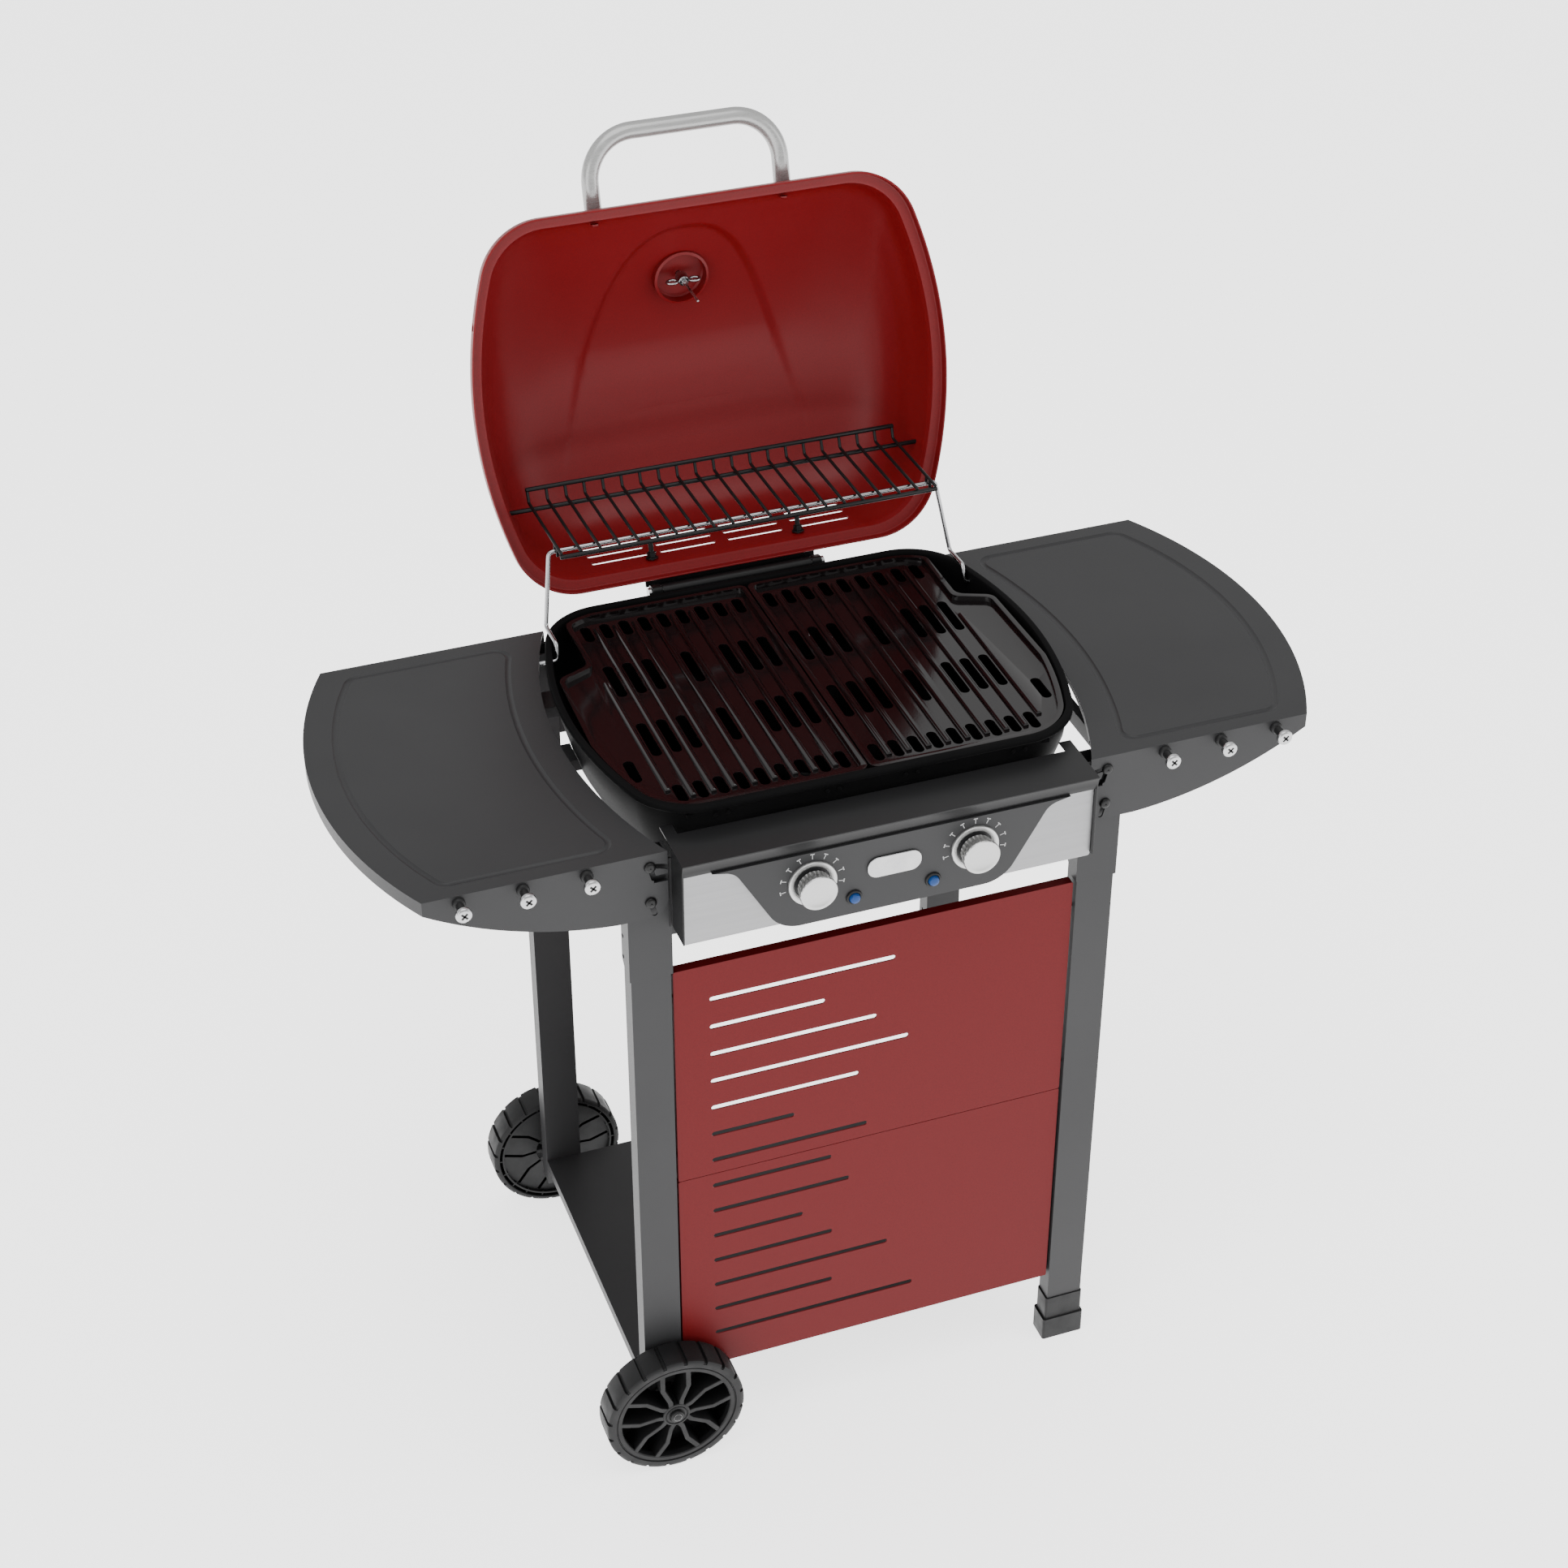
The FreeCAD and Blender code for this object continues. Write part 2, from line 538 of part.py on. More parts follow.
def make_burners():
    """Tube burners entering through the firebox front, with ports along both sides."""
    def burner(x):
        pipe = tube(11, 9.6, (x, -200, BURNER_Z), (x, 168, BURNER_Z))
        end = cyl(11, (x, 166, BURNER_Z), (x, 168, BURNER_Z))
        ports = [cyl(1.4, (x - 12, y, BURNER_Z + 2), (x + 12, y, BURNER_Z + 2))
                 for y in range(-140, 160, 20)]
        return fuse([pipe, end]).cut(group(ports))
    save("left_burner", burner(-BURNER_X))
    save("right_burner", burner(BURNER_X))
    rods = []
    for x in (-BURNER_X, BURNER_X):
        rod = cyl(1.2, (x + 17, -120, BURNER_Z + 4), (x + 17, -158, BURNER_Z + 4))
        cup = cyl(4, (x + 17, -158, BURNER_Z + 4), (x + 17, -190, BURNER_Z + 4))
        rods.append(fuse([rod, cup]))
    save("electrodes", group(rods))


def make_flame_tamers():
    """Roof-shaped covers that keep drippings off the burners."""
    tents = []
    for x in (-BURNER_X, BURNER_X):
        roof = [(x - 52, 834), (x, 864), (x + 52, 834), (x + 52, 836), (x, 866.2), (x - 52, 836)]
        tents.append(plate(roof, 0, "y", -172, 195))
    save("flame_tamers", group(tents))


def make_grease_tray():
    x, y0, y1, z0, z1 = 118.0, -120.0, 150.0, 720.3, 746.0
    pan = box(-x, x, y0, y1, z0, z1)
    pan = pan.cut(box(1.5 - x, x - 1.5, y0 + 1.5, y1 - 1.5, z0 + 1.5, z1 + 1))
    pull = box(-30, 30, y1, y1 + 16, z1 - 2, z1).fuse(box(-30, 30, y1 + 14, y1 + 16, z1 - 10, z1))
    save("grease_tray", fuse([pan, pull]))
    strip = box(122, 124, -178, 214, 718, 757)
    lip = box(108, 124, -178, 214, 718, 720)
    tabs = [box(122, 124, a, b, 756, RAIL_BOTTOM) for a, b in ((-214, -150), (186, 214))]
    rail = fuse([strip, lip] + tabs)
    save("tray_rails", group([rail, flip_x(rail)]))


# ---- hinge --------------------------------------------------------------------------------
def make_hinge():
    """Lower leaf on the firebox with two ears; upper leaf on the lid with a long knuckle."""
    ear = [(223, 869), (226, 869), (240, 893), (254, 899), (254, 911), (238, 914), (235, 905), (223, 901)]
    ears = []
    for x0 in (-HINGE_HALF, HINGE_HALF - 12):
        ears.append(plate(ear, [0, 0, 6, 7, 7, 5, 3, 0], "x", x0, x0 + 12))
    leaf = box(-HINGE_HALF, HINGE_HALF, 223, 226, 869, 901)
    pads = [box(x - 9, x + 9, 214, 223.5, 876, 894) for x in (-80, 80)]
    lower = fuse([leaf] + ears + pads).cut(firebox_envelope())
    bore = cyl(PIN_R + 0.02, (-120, HINGE_Y, HINGE_Z), (120, HINGE_Y, HINGE_Z))
    save("hinge_lower", lower.cut(bore))
    pin = fuse([cyl(PIN_R, (-110, HINGE_Y, HINGE_Z), (110, HINGE_Y, HINGE_Z)),
                cyl(6, (-110, HINGE_Y, HINGE_Z), (-106.6, HINGE_Y, HINGE_Z)),
                cyl(6, (106.6, HINGE_Y, HINGE_Z), (110, HINGE_Y, HINGE_Z))])
    save("hinge_pin", pin)
    w = HINGE_HALF - 13
    knuckle = cyl(7.5, (-w, HINGE_Y, HINGE_Z), (w, HINGE_Y, HINGE_Z))
    neck = box(-w, w, 240, 243, HINGE_Z, 928)
    shelf = box(-HINGE_HALF, HINGE_HALF, 219, 243, 925, 928)
    flange = box(-HINGE_HALF, HINGE_HALF, 219, 222, 925, 946)
    bolt_bores = [cyl(3.1, (x, 210, BOLT_Z), (x, 230, BOLT_Z)) for x in (-BOLT_X, BOLT_X)]
    upper = fuse([knuckle, neck, shelf, flange]).cut(group(bolt_bores))
    wide = cyl(PIN_R + RUNNING, (-120, HINGE_Y, HINGE_Z), (120, HINGE_Y, HINGE_Z))
    save("hinge_upper", opened(upper.cut(wide)))


def hinge_bolt(x):
    """Bolt through the lid's rear wall: head behind the leaf, nut and thread end inside."""
    hexagon = [(x + 5.8 * math.cos(math.radians(60 * k)), BOLT_Z + 5.8 * math.sin(math.radians(60 * k)))
               for k in range(6)]
    shank = cyl(3, (x, 190, BOLT_Z), (x, 222, BOLT_Z))
    head = cyl(6, (x, 222, BOLT_Z), (x, 226, BOLT_Z))
    nut = plate(hexagon, 0, "y", 204.4, 210.4)
    washer = cyl(7.5, (x, 210.4, BOLT_Z), (x, 211.8, BOLT_Z))
    return fuse([shank, head, nut, washer])


# ---- lid (drawn closed) -------------------------------------------------------------------
# z, front, back, side and corner radius of the lid's outer skin, from the flange up.
LID_ROWS = [(LIP_TOP - 2, -195, 219, 276, 72), (949.0, -190.5, 213, 270, 74),
            (968.0, -170, 209, 264, 78), (990.0, -138, 204, 256, 84), (1012.0, -100, 196, 243, 88),
            (1031.0, -58, 183, 222, 84), (1045.0, -14, 162, 190, 66), (1053.0, 34, 132, 140, 40)]
DIAL_Y, DIAL_Z, DIAL_TILT = -99.0, 1011.0, 18.0
LID_VENT_ZS = (951.0, 969.5, 988.0)
LID_VENT_XS = (-127.5, -42.5, 42.5, 127.5)
LID_VENT_HALF, LID_VENT_H = 35.0, 7.0


def on_dial_axis(distance):
    """Point on the thermometer's axis; positive distances lie outside the lid."""
    a = math.radians(DIAL_TILT)
    return (0, DIAL_Y - distance * math.sin(a), DIAL_Z + distance * math.cos(a))


def make_lid_shell():
    lip = bowed_prism(LIP_BOTTOM, LIP_TOP, -206, 230, 288, 78)
    skin = fuse([lip, bowed_loft(LID_ROWS)])
    hollow = bowed_loft(inset(LID_ROWS, LID_WALL, LID_WALL))
    lip_hollow = bowed_prism(LIP_BOTTOM - 1, LIP_TOP - 2, -204, 228, 286, 76)
    shell = skin.cut(fuse([hollow, lip_hollow]))
    boss = cyl(33, on_dial_axis(-16), on_dial_axis(9))
    boss = boss.cut(bowed_loft(inset(LID_ROWS, LID_WALL, LID_WALL)))
    shell = fuse([shell, boss]).cut(cyl(31, on_dial_axis(-40), on_dial_axis(7)))
    cutters = [cyl(3.4, on_dial_axis(0), on_dial_axis(12))]
    for z in LID_VENT_ZS:
        for x in LID_VENT_XS:
            cutters.append(panel_slot(x - LID_VENT_HALF, x + LID_VENT_HALF, z - LID_VENT_H / 2,
                                      z + LID_VENT_H / 2, 180, 230))
    for x in (-BOLT_X, BOLT_X):
        cutters.append(cyl(3.2, (x, 190, BOLT_Z), (x, 226, BOLT_Z)))
    y, z = closed_rack_pivot()
    cutters.append(cyl(BAR_R + RUNNING, (-300, y, z), (300, y, z)))
    for x in (-HANDLE_X, HANDLE_X):
        cutters.append(cyl(3.2, (x, -200, HANDLE_Z), (x, -180, HANDLE_Z)))
    cutters.append(box(-300, 300, -112, -92, 911, 916))
    save("lid_shell", opened(shell.cut(group(cutters))))


def closed_rack_pivot():
    """The rack pivot's y and z when the lid is closed."""
    a = math.radians(LID_OPEN)
    dy, dz = RACK_PIVOT[0] - HINGE_Y, RACK_PIVOT[1] - HINGE_Z
    return (HINGE_Y + dy * math.cos(a) - dz * math.sin(a),
            HINGE_Z + dy * math.sin(a) + dz * math.cos(a))


def make_lid_fittings():
    wall = bowed_loft(LID_ROWS)
    reach = [(-HANDLE_X, -180, HANDLE_Z), (-HANDLE_X, HANDLE_Y, HANDLE_Z),
             (HANDLE_X, HANDLE_Y, HANDLE_Z), (HANDLE_X, -180, HANDLE_Z)]
    bar = bent_rod(reach, HANDLE_R, HANDLE_BEND).cut(wall)
    thread = [cyl(3.1, (x, -215, HANDLE_Z), (x, -180, HANDLE_Z)) for x in (-HANDLE_X, HANDLE_X)]
    save("handle", opened(bar.cut(group(thread))))
    screws = []
    for x in (-HANDLE_X, HANDLE_X):
        screws.append(fuse([cyl(3, (x, -212, HANDLE_Z), (x, -182.4, HANDLE_Z)),
                            cyl(5, (x, -185.6, HANDLE_Z), (x, -182.0, HANDLE_Z))]))
    save("lid_screws", opened(group(screws + [hinge_bolt(-BOLT_X), hinge_bolt(BOLT_X)])))
    case = fuse([cyl(30, on_dial_axis(9.4), on_dial_axis(19)), cyl(26, on_dial_axis(19), on_dial_axis(21)),
                 cyl(3, on_dial_axis(-24), on_dial_axis(10)), cyl(1.6, on_dial_axis(-66), on_dial_axis(-20))])
    save("thermometer", opened(case))
    ears = [plate([(-17, -4), (17, -4), (21, 6), (12, 8), (0, 2), (-12, 8), (-21, 6)],
                  [2, 2, 4, 4, 2, 4, 4], "y", -1.6, 1.6)]
    nut = fuse(ears + [cyl(7, (0, 0, -6), (0, 0, 6))]).cut(cyl(3.05, (0, 0, -9), (0, 0, 9)))
    nut.rotate(V(0, 0, 0), V(1, 0, 0), 180 + DIAL_TILT)
    x, y, z = on_dial_axis(-9)
    save("wing_nut", opened(placed(nut, x, y, z)))


# ---- warming rack and bail (drawn open) ---------------------------------------------------
def make_rack():
    front, bend, top = (186.5, 1013.7), (320.0, 1008.7), (326.0, 1022.2)
    rods = []
    for k in range(RACK_WIRES):
        x = -RACK_HALF + 2 * RACK_HALF * k / (RACK_WIRES - 1)
        rods.append(bent_rod([(x, *front), (x, *bend), (x, *top)], WIRE_R, 4))
    for (y, z), half in (((186.5, 1010.0), RACK_HALF + 2), ((326.0, 1023.0), RACK_HALF + 2),
                         (RACK_PIVOT, 262.0)):
        rods.append(cyl(BAR_R, (-half, y, z), (half, y, z)))
    gap = BAIL_R + WIRE_R + 1.0
    for x in (-RACK_HALF, RACK_HALF):
        for dy in (-gap, gap):
            y = BAIL_BAR[0] + dy
            rods.append(cyl(WIRE_R, (x, y, 1001.5), (x, y, 1013.0)))
    save("warming_rack", fuse(rods))


def make_bail():
    y, z = BAIL_PIVOT
    path = [(-272, y, z), (-250, y, z), (-250, 149, 923), (-250, 189, 921), (-237, *BAIL_BAR)]
    path += [(-x, py, pz) for x, py, pz in reversed(path)]
    save("rack_bail", bent_rod(path, BAIL_R, 6))


# ---- control panel ------------------------------------------------------------------------
def shield(edge):
    """Outline of the dark centre field; edge is how far it is pulled in all round."""
    return [(-205 + edge, 872 - edge), (-180 + edge, 867 - edge), (-129 + edge, 779 + edge),
            (129 - edge, 779 + edge), (180 - edge, 867 - edge), (205 - edge, 872 - edge)]


SHIELD_RADII = [0, 22, 40, 40, 22, 0]


def make_panel():
    bores = [cyl(9, (s * KNOB_X, -270, KNOB_Z), (s * KNOB_X, -240, KNOB_Z)) for s in (-1, 1)]
    bores += [cyl(7.4, (s * BUTTON_X, -270, BUTTON_Z), (s * BUTTON_X, -240, BUTTON_Z)) for s in (-1, 1)]
    bores = group(bores)
    face = plate([(-235.5, PLATE_BOTTOM), (235.5, PLATE_BOTTOM), (235.5, 884), (-235.5, 884)],
                 3, "y", PLATE_Y, PLATE_Y + 1.5)
    sides = [box(x, x + 1.5, PLATE_Y + 1, -SLEEVE_FACE, PLATE_BOTTOM + 3, 884) for x in (-235.5, 234)]
    ledge = box(-234, 234, PLATE_Y + 1, PLATE_Y + 14, PLATE_BOTTOM, PLATE_BOTTOM + 1.5)
    save("control_panel", fuse([face, ledge] + sides).cut(bores))
    dark = plate(shield(0), SHIELD_RADII, "y", FASCIA_Y, PLATE_Y)
    dark = dark.cut(plate(shield(1.6), SHIELD_RADII, "y", FASCIA_Y + 1.6, PLATE_Y + 1))
    save("panel_fascia", dark.cut(bores))
    top = box(-237.5, 237.5, -263, -204, SHELF_TOP - 1.6, SHELF_TOP)
    lip = plate([(-263, SHELF_TOP), (-261.4, SHELF_TOP), (-255.5, 868), (-257.1, 868)], 0, "x",
                -237.5, 237.5).cut(box(-300, 300, FASCIA_Y - 0.2, -200, 860, 872))
    ends = [box(x, x + 1.6, -260, -SLEEVE_FACE - 1.5, 785, SHELF_TOP) for x in (-237.5, 235.9)]
    ends += [box(x, x + 4.6, -SLEEVE_FACE - 1.5, -SLEEVE_FACE, 785, 876) for x in (-240.5, 235.9)]
    wings = [box(x, x + 14, -206, -186, SHELF_TOP - 1.6, SHELF_TOP) for x in (-237.5, 223.5)]
    save("panel_cover", fuse([top, lip] + ends + wings))
    badge = plate([(-31, 822), (31, 822), (31, 848), (-31, 848)], 12, "y", FASCIA_Y - 2.5, FASCIA_Y)
    save("badge", badge)


def make_knobs():
    for side, name in ((-1, "left"), (1, "right")):
        x = side * KNOB_X
        knob = fuse([cyl(21.2, (x, -283.6, KNOB_Z), (x, -274, KNOB_Z)),
                     cyl(18.6, (x, -274, KNOB_Z), (x, -266, KNOB_Z)),
                     cyl(7.5, (x, -266, KNOB_Z), (x, -258, KNOB_Z))])
        flutes = []
        for k in range(24):
            a = math.radians(15 * k)
            fx, fz = x + 19.6 * math.cos(a), KNOB_Z + 19.6 * math.sin(a)
            flutes.append(cyl(1.7, (fx, -273.5, fz), (fx, -265, fz)))
        bore = cyl(3.5, (x, -278, KNOB_Z), (x, -250, KNOB_Z))
        save(name + "_knob", knob.cut(group(flutes)).cut(bore))
        save(name + "_valve_stem", cyl(3.5, (x, -278, KNOB_Z), (x, -246, KNOB_Z)))
        b = side * BUTTON_X
        button = fuse([cyl(6.2, (b, -268.5, BUTTON_Z), (b, -256, BUTTON_Z)),
                       cyl(3, (b, -256, BUTTON_Z), (b, -250, BUTTON_Z))])
        save(name + "_igniter_button", button)
    bezels = [tube(27.7, 20, (s * KNOB_X, -265, KNOB_Z), (s * KNOB_X, FASCIA_Y, KNOB_Z)) for s in (-1, 1)]
    save("knob_bezels", group(bezels))
    bodies = []
    for s in (-1, 1):
        case = cyl(9, (s * BUTTON_X, PLATE_Y + 1.5, BUTTON_Z), (s * BUTTON_X, -218, BUTTON_Z))
        nose = cyl(7.3, (s * BUTTON_X, FASCIA_Y - 1, BUTTON_Z), (s * BUTTON_X, PLATE_Y + 2, BUTTON_Z))
        well = cyl(6.5, (s * BUTTON_X, -270, BUTTON_Z), (s * BUTTON_X, -245, BUTTON_Z))
        bodies.append(fuse([case, nose]).cut(well))
    save("igniters", group(bodies))


def make_gas_train():
    """Manifold pipe behind the panel, a valve for each burner, and the hose inlet."""
    valves = []
    for s in (-1, 1):
        x = s * KNOB_X
        body = box(x - 11, x + 11, -248, -225, 803, 846)
        jet = cyl(4, (x, -226, BURNER_Z), (x, -201, BURNER_Z))
        guide = tube(7, 3.6, (x, -252, KNOB_Z), (x, -247, KNOB_Z))
        stem_bore = cyl(3.6, (x, -250, KNOB_Z), (x, -236, KNOB_Z))
        valves.append(fuse([body, jet, guide]).cut(stem_bore))
    save("gas_valves", group(valves))
    pipe = tube(8, 6, (-116, -216.8, 838), (212, -216.8, 838))
    plug = cyl(8, (-119, -216.8, 838), (-116, -216.8, 838))
    inlet = tube(8, 5, (204, -216.8, 838), (204, -216.8, 806))
    flare = tube(10, 5, (204, -216.8, 812), (204, -216.8, 820))
    end = cyl(8, (210, -216.8, 838), (213, -216.8, 838))
    save("gas_manifold", fuse([pipe, plug, inlet, flare, end]))


# ---- side shelves (right one drawn) -------------------------------------------------------
def arc_mid(x_edge, x_mid, half, offset):
    """Three points of a shelf arc moved by an offset away from the grill's middle."""
    return (V(x_edge + offset, -half, 0), V(x_mid + offset, 0, 0), V(x_edge + offset, half, 0))


def shelf_face(z, inset_by=0.0):
    h = SHELF_HALF_DEPTH - inset_by
    up = V(0, 0, z)
    i0, im, i1 = arc_mid(SHELF_INNER_X, SHELF_INNER_MID_X, h, inset_by)
    o0, om, o1 = arc_mid(SHELF_CORNER_X, SHELF_BULGE_X, h, -inset_by)
    return Part.Face(Part.Wire([Part.makeLine(i0 + up, o0 + up), Part.Arc(o0 + up, om + up, o1 + up).toShape(),
                                Part.makeLine(o1 + up, i1 + up), Part.Arc(i1 + up, im + up, i0 + up).toShape()]))


def skirt():
    """Front skirt with its arc-shaped lower edge, hook holes and the two lift slots."""
    top = SHELF_TOP - 1
    low = SHELF_TOP - SHELF_LIP
    y0, y1 = -SHELF_HALF_DEPTH, SHELF_SHEET - SHELF_HALF_DEPTH
    a, b, c = V(SHELF_CORNER_X, y0, low), V(388, y0, 822), V(300, y0, 807)
    edges = [Part.makeLine(V(SHELF_INNER_X, y0, top), V(SHELF_CORNER_X, y0, top)),
             Part.makeLine(V(SHELF_CORNER_X, y0, top), a), Part.Arc(a, b, c).toShape(),
             Part.makeLine(c, V(264, y0, 807)),
             Part.Arc(V(264, y0, 807), V(249, y0, 814), V(SHELF_INNER_X, y0, 829)).toShape(),
             Part.makeLine(V(SHELF_INNER_X, y0, 829), V(SHELF_INNER_X, y0, top))]
    sheet = Part.Face(Part.Wire(edges)).extrude(V(0, y1 - y0, 0))
    r = SCREW_R + 0.5
    cutters = []
    for z in (PIVOT_Z, TOP_SCREW_Z):
        start, end = (PIVOT_X, y0 - 1, z), (PIVOT_X - SLOT_DX, y0 - 1, z - SLOT_DZ)
        cutters += [cyl(r, p, (p[0], y1 + 1, p[2])) for p in (start, end)]
        across = unit(V(SLOT_DZ, 0, -SLOT_DX)) * r
        p, q = V(*start), V(*end)
        band = Part.makePolygon([p + across, p - across, q - across, q + across, p + across])
        cutters.append(Part.Face(band).extrude(V(0, y1 - y0 + 2, 0)))
    mouth = TOP_SCREW_Z - SLOT_DZ
    cutters.append(box(SHELF_INNER_X - 2, PIVOT_X - SLOT_DX, y0 - 1, y1 + 1, mouth - 6, mouth + 3.2))
    radius = TOP_SCREW_Z - PIVOT_Z
    ring = tube(radius + r, radius - r, (PIVOT_X, y0 - 1, PIVOT_Z), (PIVOT_X, y1 + 1, PIVOT_Z))
    cutters.append(ring.common(box(SHELF_INNER_X - 2, PIVOT_X, y0 - 1, y1 + 1, PIVOT_Z, SHELF_TOP - 4)))
    cutters += [cyl(3.1, (x, y0 - 1, HOOK_Z), (x, y1 + 1, HOOK_Z)) for x in HOOK_XS]
    return sheet.cut(group(cutters))


def shelf_right():
    deck = shelf_face(SHELF_TOP - SHELF_SHEET).extrude(V(0, 0, SHELF_SHEET))
    outer = shelf_face(SHELF_TOP - SHELF_LIP).extrude(V(0, 0, SHELF_LIP - 1))
    core = shelf_face(SHELF_TOP - SHELF_LIP - 1, SHELF_SHEET).extrude(V(0, 0, SHELF_LIP + 1))
    lip = outer.cut(core)
    lip = lip.cut(box(0, SHELF_INNER_MID_X + 6, -SHELF_HALF_DEPTH - 1, SHELF_HALF_DEPTH + 1,
                      SHELF_TOP - SHELF_LIP - 1, SHELF_TOP - 7))
    for y0, y1 in ((-SHELF_HALF_DEPTH, -190), (190, SHELF_HALF_DEPTH)):
        lip = lip.cut(box(0, SHELF_INNER_MID_X, y0, y1, SHELF_TOP - 8, SHELF_TOP - SHELF_SHEET))
    lip = lip.cut(box(0, SHELF_CORNER_X - 2.5, -SHELF_HALF_DEPTH - 1, 3 - SHELF_HALF_DEPTH, 800, 889))
    lip = lip.cut(box(0, SHELF_CORNER_X - 2.5, SHELF_HALF_DEPTH - 3, SHELF_HALF_DEPTH + 1, 800, 889))
    plain = skirt()
    return fuse([deck, lip, plain, flip_y(plain)])


def tool_hooks():
    """Three hooks: a stepped stem and a round head each."""
    hooks = []
    for x in HOOK_XS:
        y = -SHELF_HALF_DEPTH
        hooks.append(fuse([cyl(3, (x, y + 4, HOOK_Z), (x, y - 6, HOOK_Z)),
                           cyl(7, (x, y - 5, HOOK_Z), (x, y, HOOK_Z)),
                           cyl(4.6, (x, y - 20, HOOK_Z), (x, y - 5, HOOK_Z)),
                           cyl(9, (x, y - 25, HOOK_Z), (x, y - 19, HOOK_Z)),
                           cyl(6, (x, y + SHELF_SHEET, HOOK_Z), (x, y + SHELF_SHEET + 4, HOOK_Z))]))
    return hooks


def shelf_screw(z):
    """Shoulder screw from the leg through the skirt's slot."""
    y = -SHELF_HALF_DEPTH
    return fuse([cyl(SCREW_R, (PIVOT_X, y - 1, z), (PIVOT_X, -LEG_FACE + 8, z)),
                 cyl(6.4, (PIVOT_X, y - 3.6, z), (PIVOT_X, y - 0.4, z))])


def pivot_bush():
    """Bush between the sleeve and the skirt, turning on the lower screw with the shelf."""
    return tube(6, SCREW_R + RUNNING, (PIVOT_X, -SHELF_HALF_DEPTH + SHELF_SHEET + 0.35, PIVOT_Z),
                (PIVOT_X, -SLEEVE_FACE - 0.35, PIVOT_Z))


def make_shelves():
    right = shelf_right()
    save("right_shelf", right)
    save("left_shelf", flip_x(right))
    hooks = tool_hooks()
    save("right_tool_hooks", group(hooks))
    save("left_tool_hooks", group([flip_x(h) for h in hooks]))
    bush = pivot_bush()
    save("right_pivot_bushes", group([bush, flip_y(bush)]))
    save("left_pivot_bushes", group([flip_x(bush), flip_x(flip_y(bush))]))
    screws = [shelf_screw(z) for z in (PIVOT_Z, TOP_SCREW_Z)]
    screws += [flip_y(s) for s in screws]
    save("shelf_screws", group(screws + [flip_x(s) for s in screws]))


make_legs()
make_sleeves()
make_feet()
make_rails()
make_firebox_brackets()
make_deck()
make_front_panels()
make_frame_screws()
make_wheels()
make_firebox()
make_grates()
make_burners()
make_flame_tamers()
make_grease_tray()
make_hinge()
make_lid_shell()
make_lid_fittings()
make_rack()
make_bail()
make_panel()
make_knobs()
make_gas_train()
make_shelves()
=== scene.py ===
import bpy
import bmesh
import json
import math
from mathutils import Matrix, Vector


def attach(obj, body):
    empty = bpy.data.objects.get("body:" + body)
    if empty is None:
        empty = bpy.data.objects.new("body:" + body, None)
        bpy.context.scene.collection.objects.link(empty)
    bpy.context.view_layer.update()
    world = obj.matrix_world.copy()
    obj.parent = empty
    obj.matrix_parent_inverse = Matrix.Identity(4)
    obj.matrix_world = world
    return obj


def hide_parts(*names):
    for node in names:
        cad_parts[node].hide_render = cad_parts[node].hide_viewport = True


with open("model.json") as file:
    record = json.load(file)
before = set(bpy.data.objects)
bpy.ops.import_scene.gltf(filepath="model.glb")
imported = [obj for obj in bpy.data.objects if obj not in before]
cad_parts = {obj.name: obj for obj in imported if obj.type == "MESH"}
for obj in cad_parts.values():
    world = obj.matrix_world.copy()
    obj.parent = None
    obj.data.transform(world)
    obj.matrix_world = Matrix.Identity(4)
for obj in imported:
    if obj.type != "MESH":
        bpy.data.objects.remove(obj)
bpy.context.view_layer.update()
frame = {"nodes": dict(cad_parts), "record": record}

# Millimetres here: X to the right, Y to the back, Z up, from the middle of the four legs.
# ORIGIN_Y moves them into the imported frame, whose origin is the bounding box's bottom centre.
ORIGIN_Y = 86.95
HINGE_Y, HINGE_Z, LID_OPEN = 244.0, 905.0, 105.0
BULGE = 0.11  # how far the sides of the firebox and lid bow out, as a part of their depth

# Places that several pieces share. They are the CAD part's own.
AXLE_X, WHEEL_R, WHEEL_WIDTH = -261.0, 85.5, 39.0
AXLE_BORE = 5.08
FRONT_WHEEL_Y, REAR_WHEEL_Y = -263.0, 273.5     # outer faces of the wheels
FASCIA_Y = -261.5                               # front face of the panel's dark field
KNOB_X, KNOB_Z = 93.3, 833.0                    # the burners lie behind the knobs
BURNER_Z = 812.0
BUTTON_X, BUTTON_Z = 45.6, 801.5
BAIL_Y, BAIL_Z = 143.0, 903.0                   # where the bail turns in the firebox
SKIRT_Y = -229.5                                # front face of the shelves

# ---- camera -------------------------------------------------------------------------------
cam_data = bpy.data.cameras.new("camera")
cam_data.lens = 67.96
cam_data.sensor_width = 36.0
cam_data.clip_end = 60.0
camera = bpy.data.objects.new("camera", cam_data)
camera.location = (-0.9838, -2.6040 - ORIGIN_Y / 1000, 2.7184)
camera.rotation_euler = (math.radians(54.946), 0.0, math.radians(-20.129))
bpy.context.scene.collection.objects.link(camera)
bpy.context.scene.camera = camera


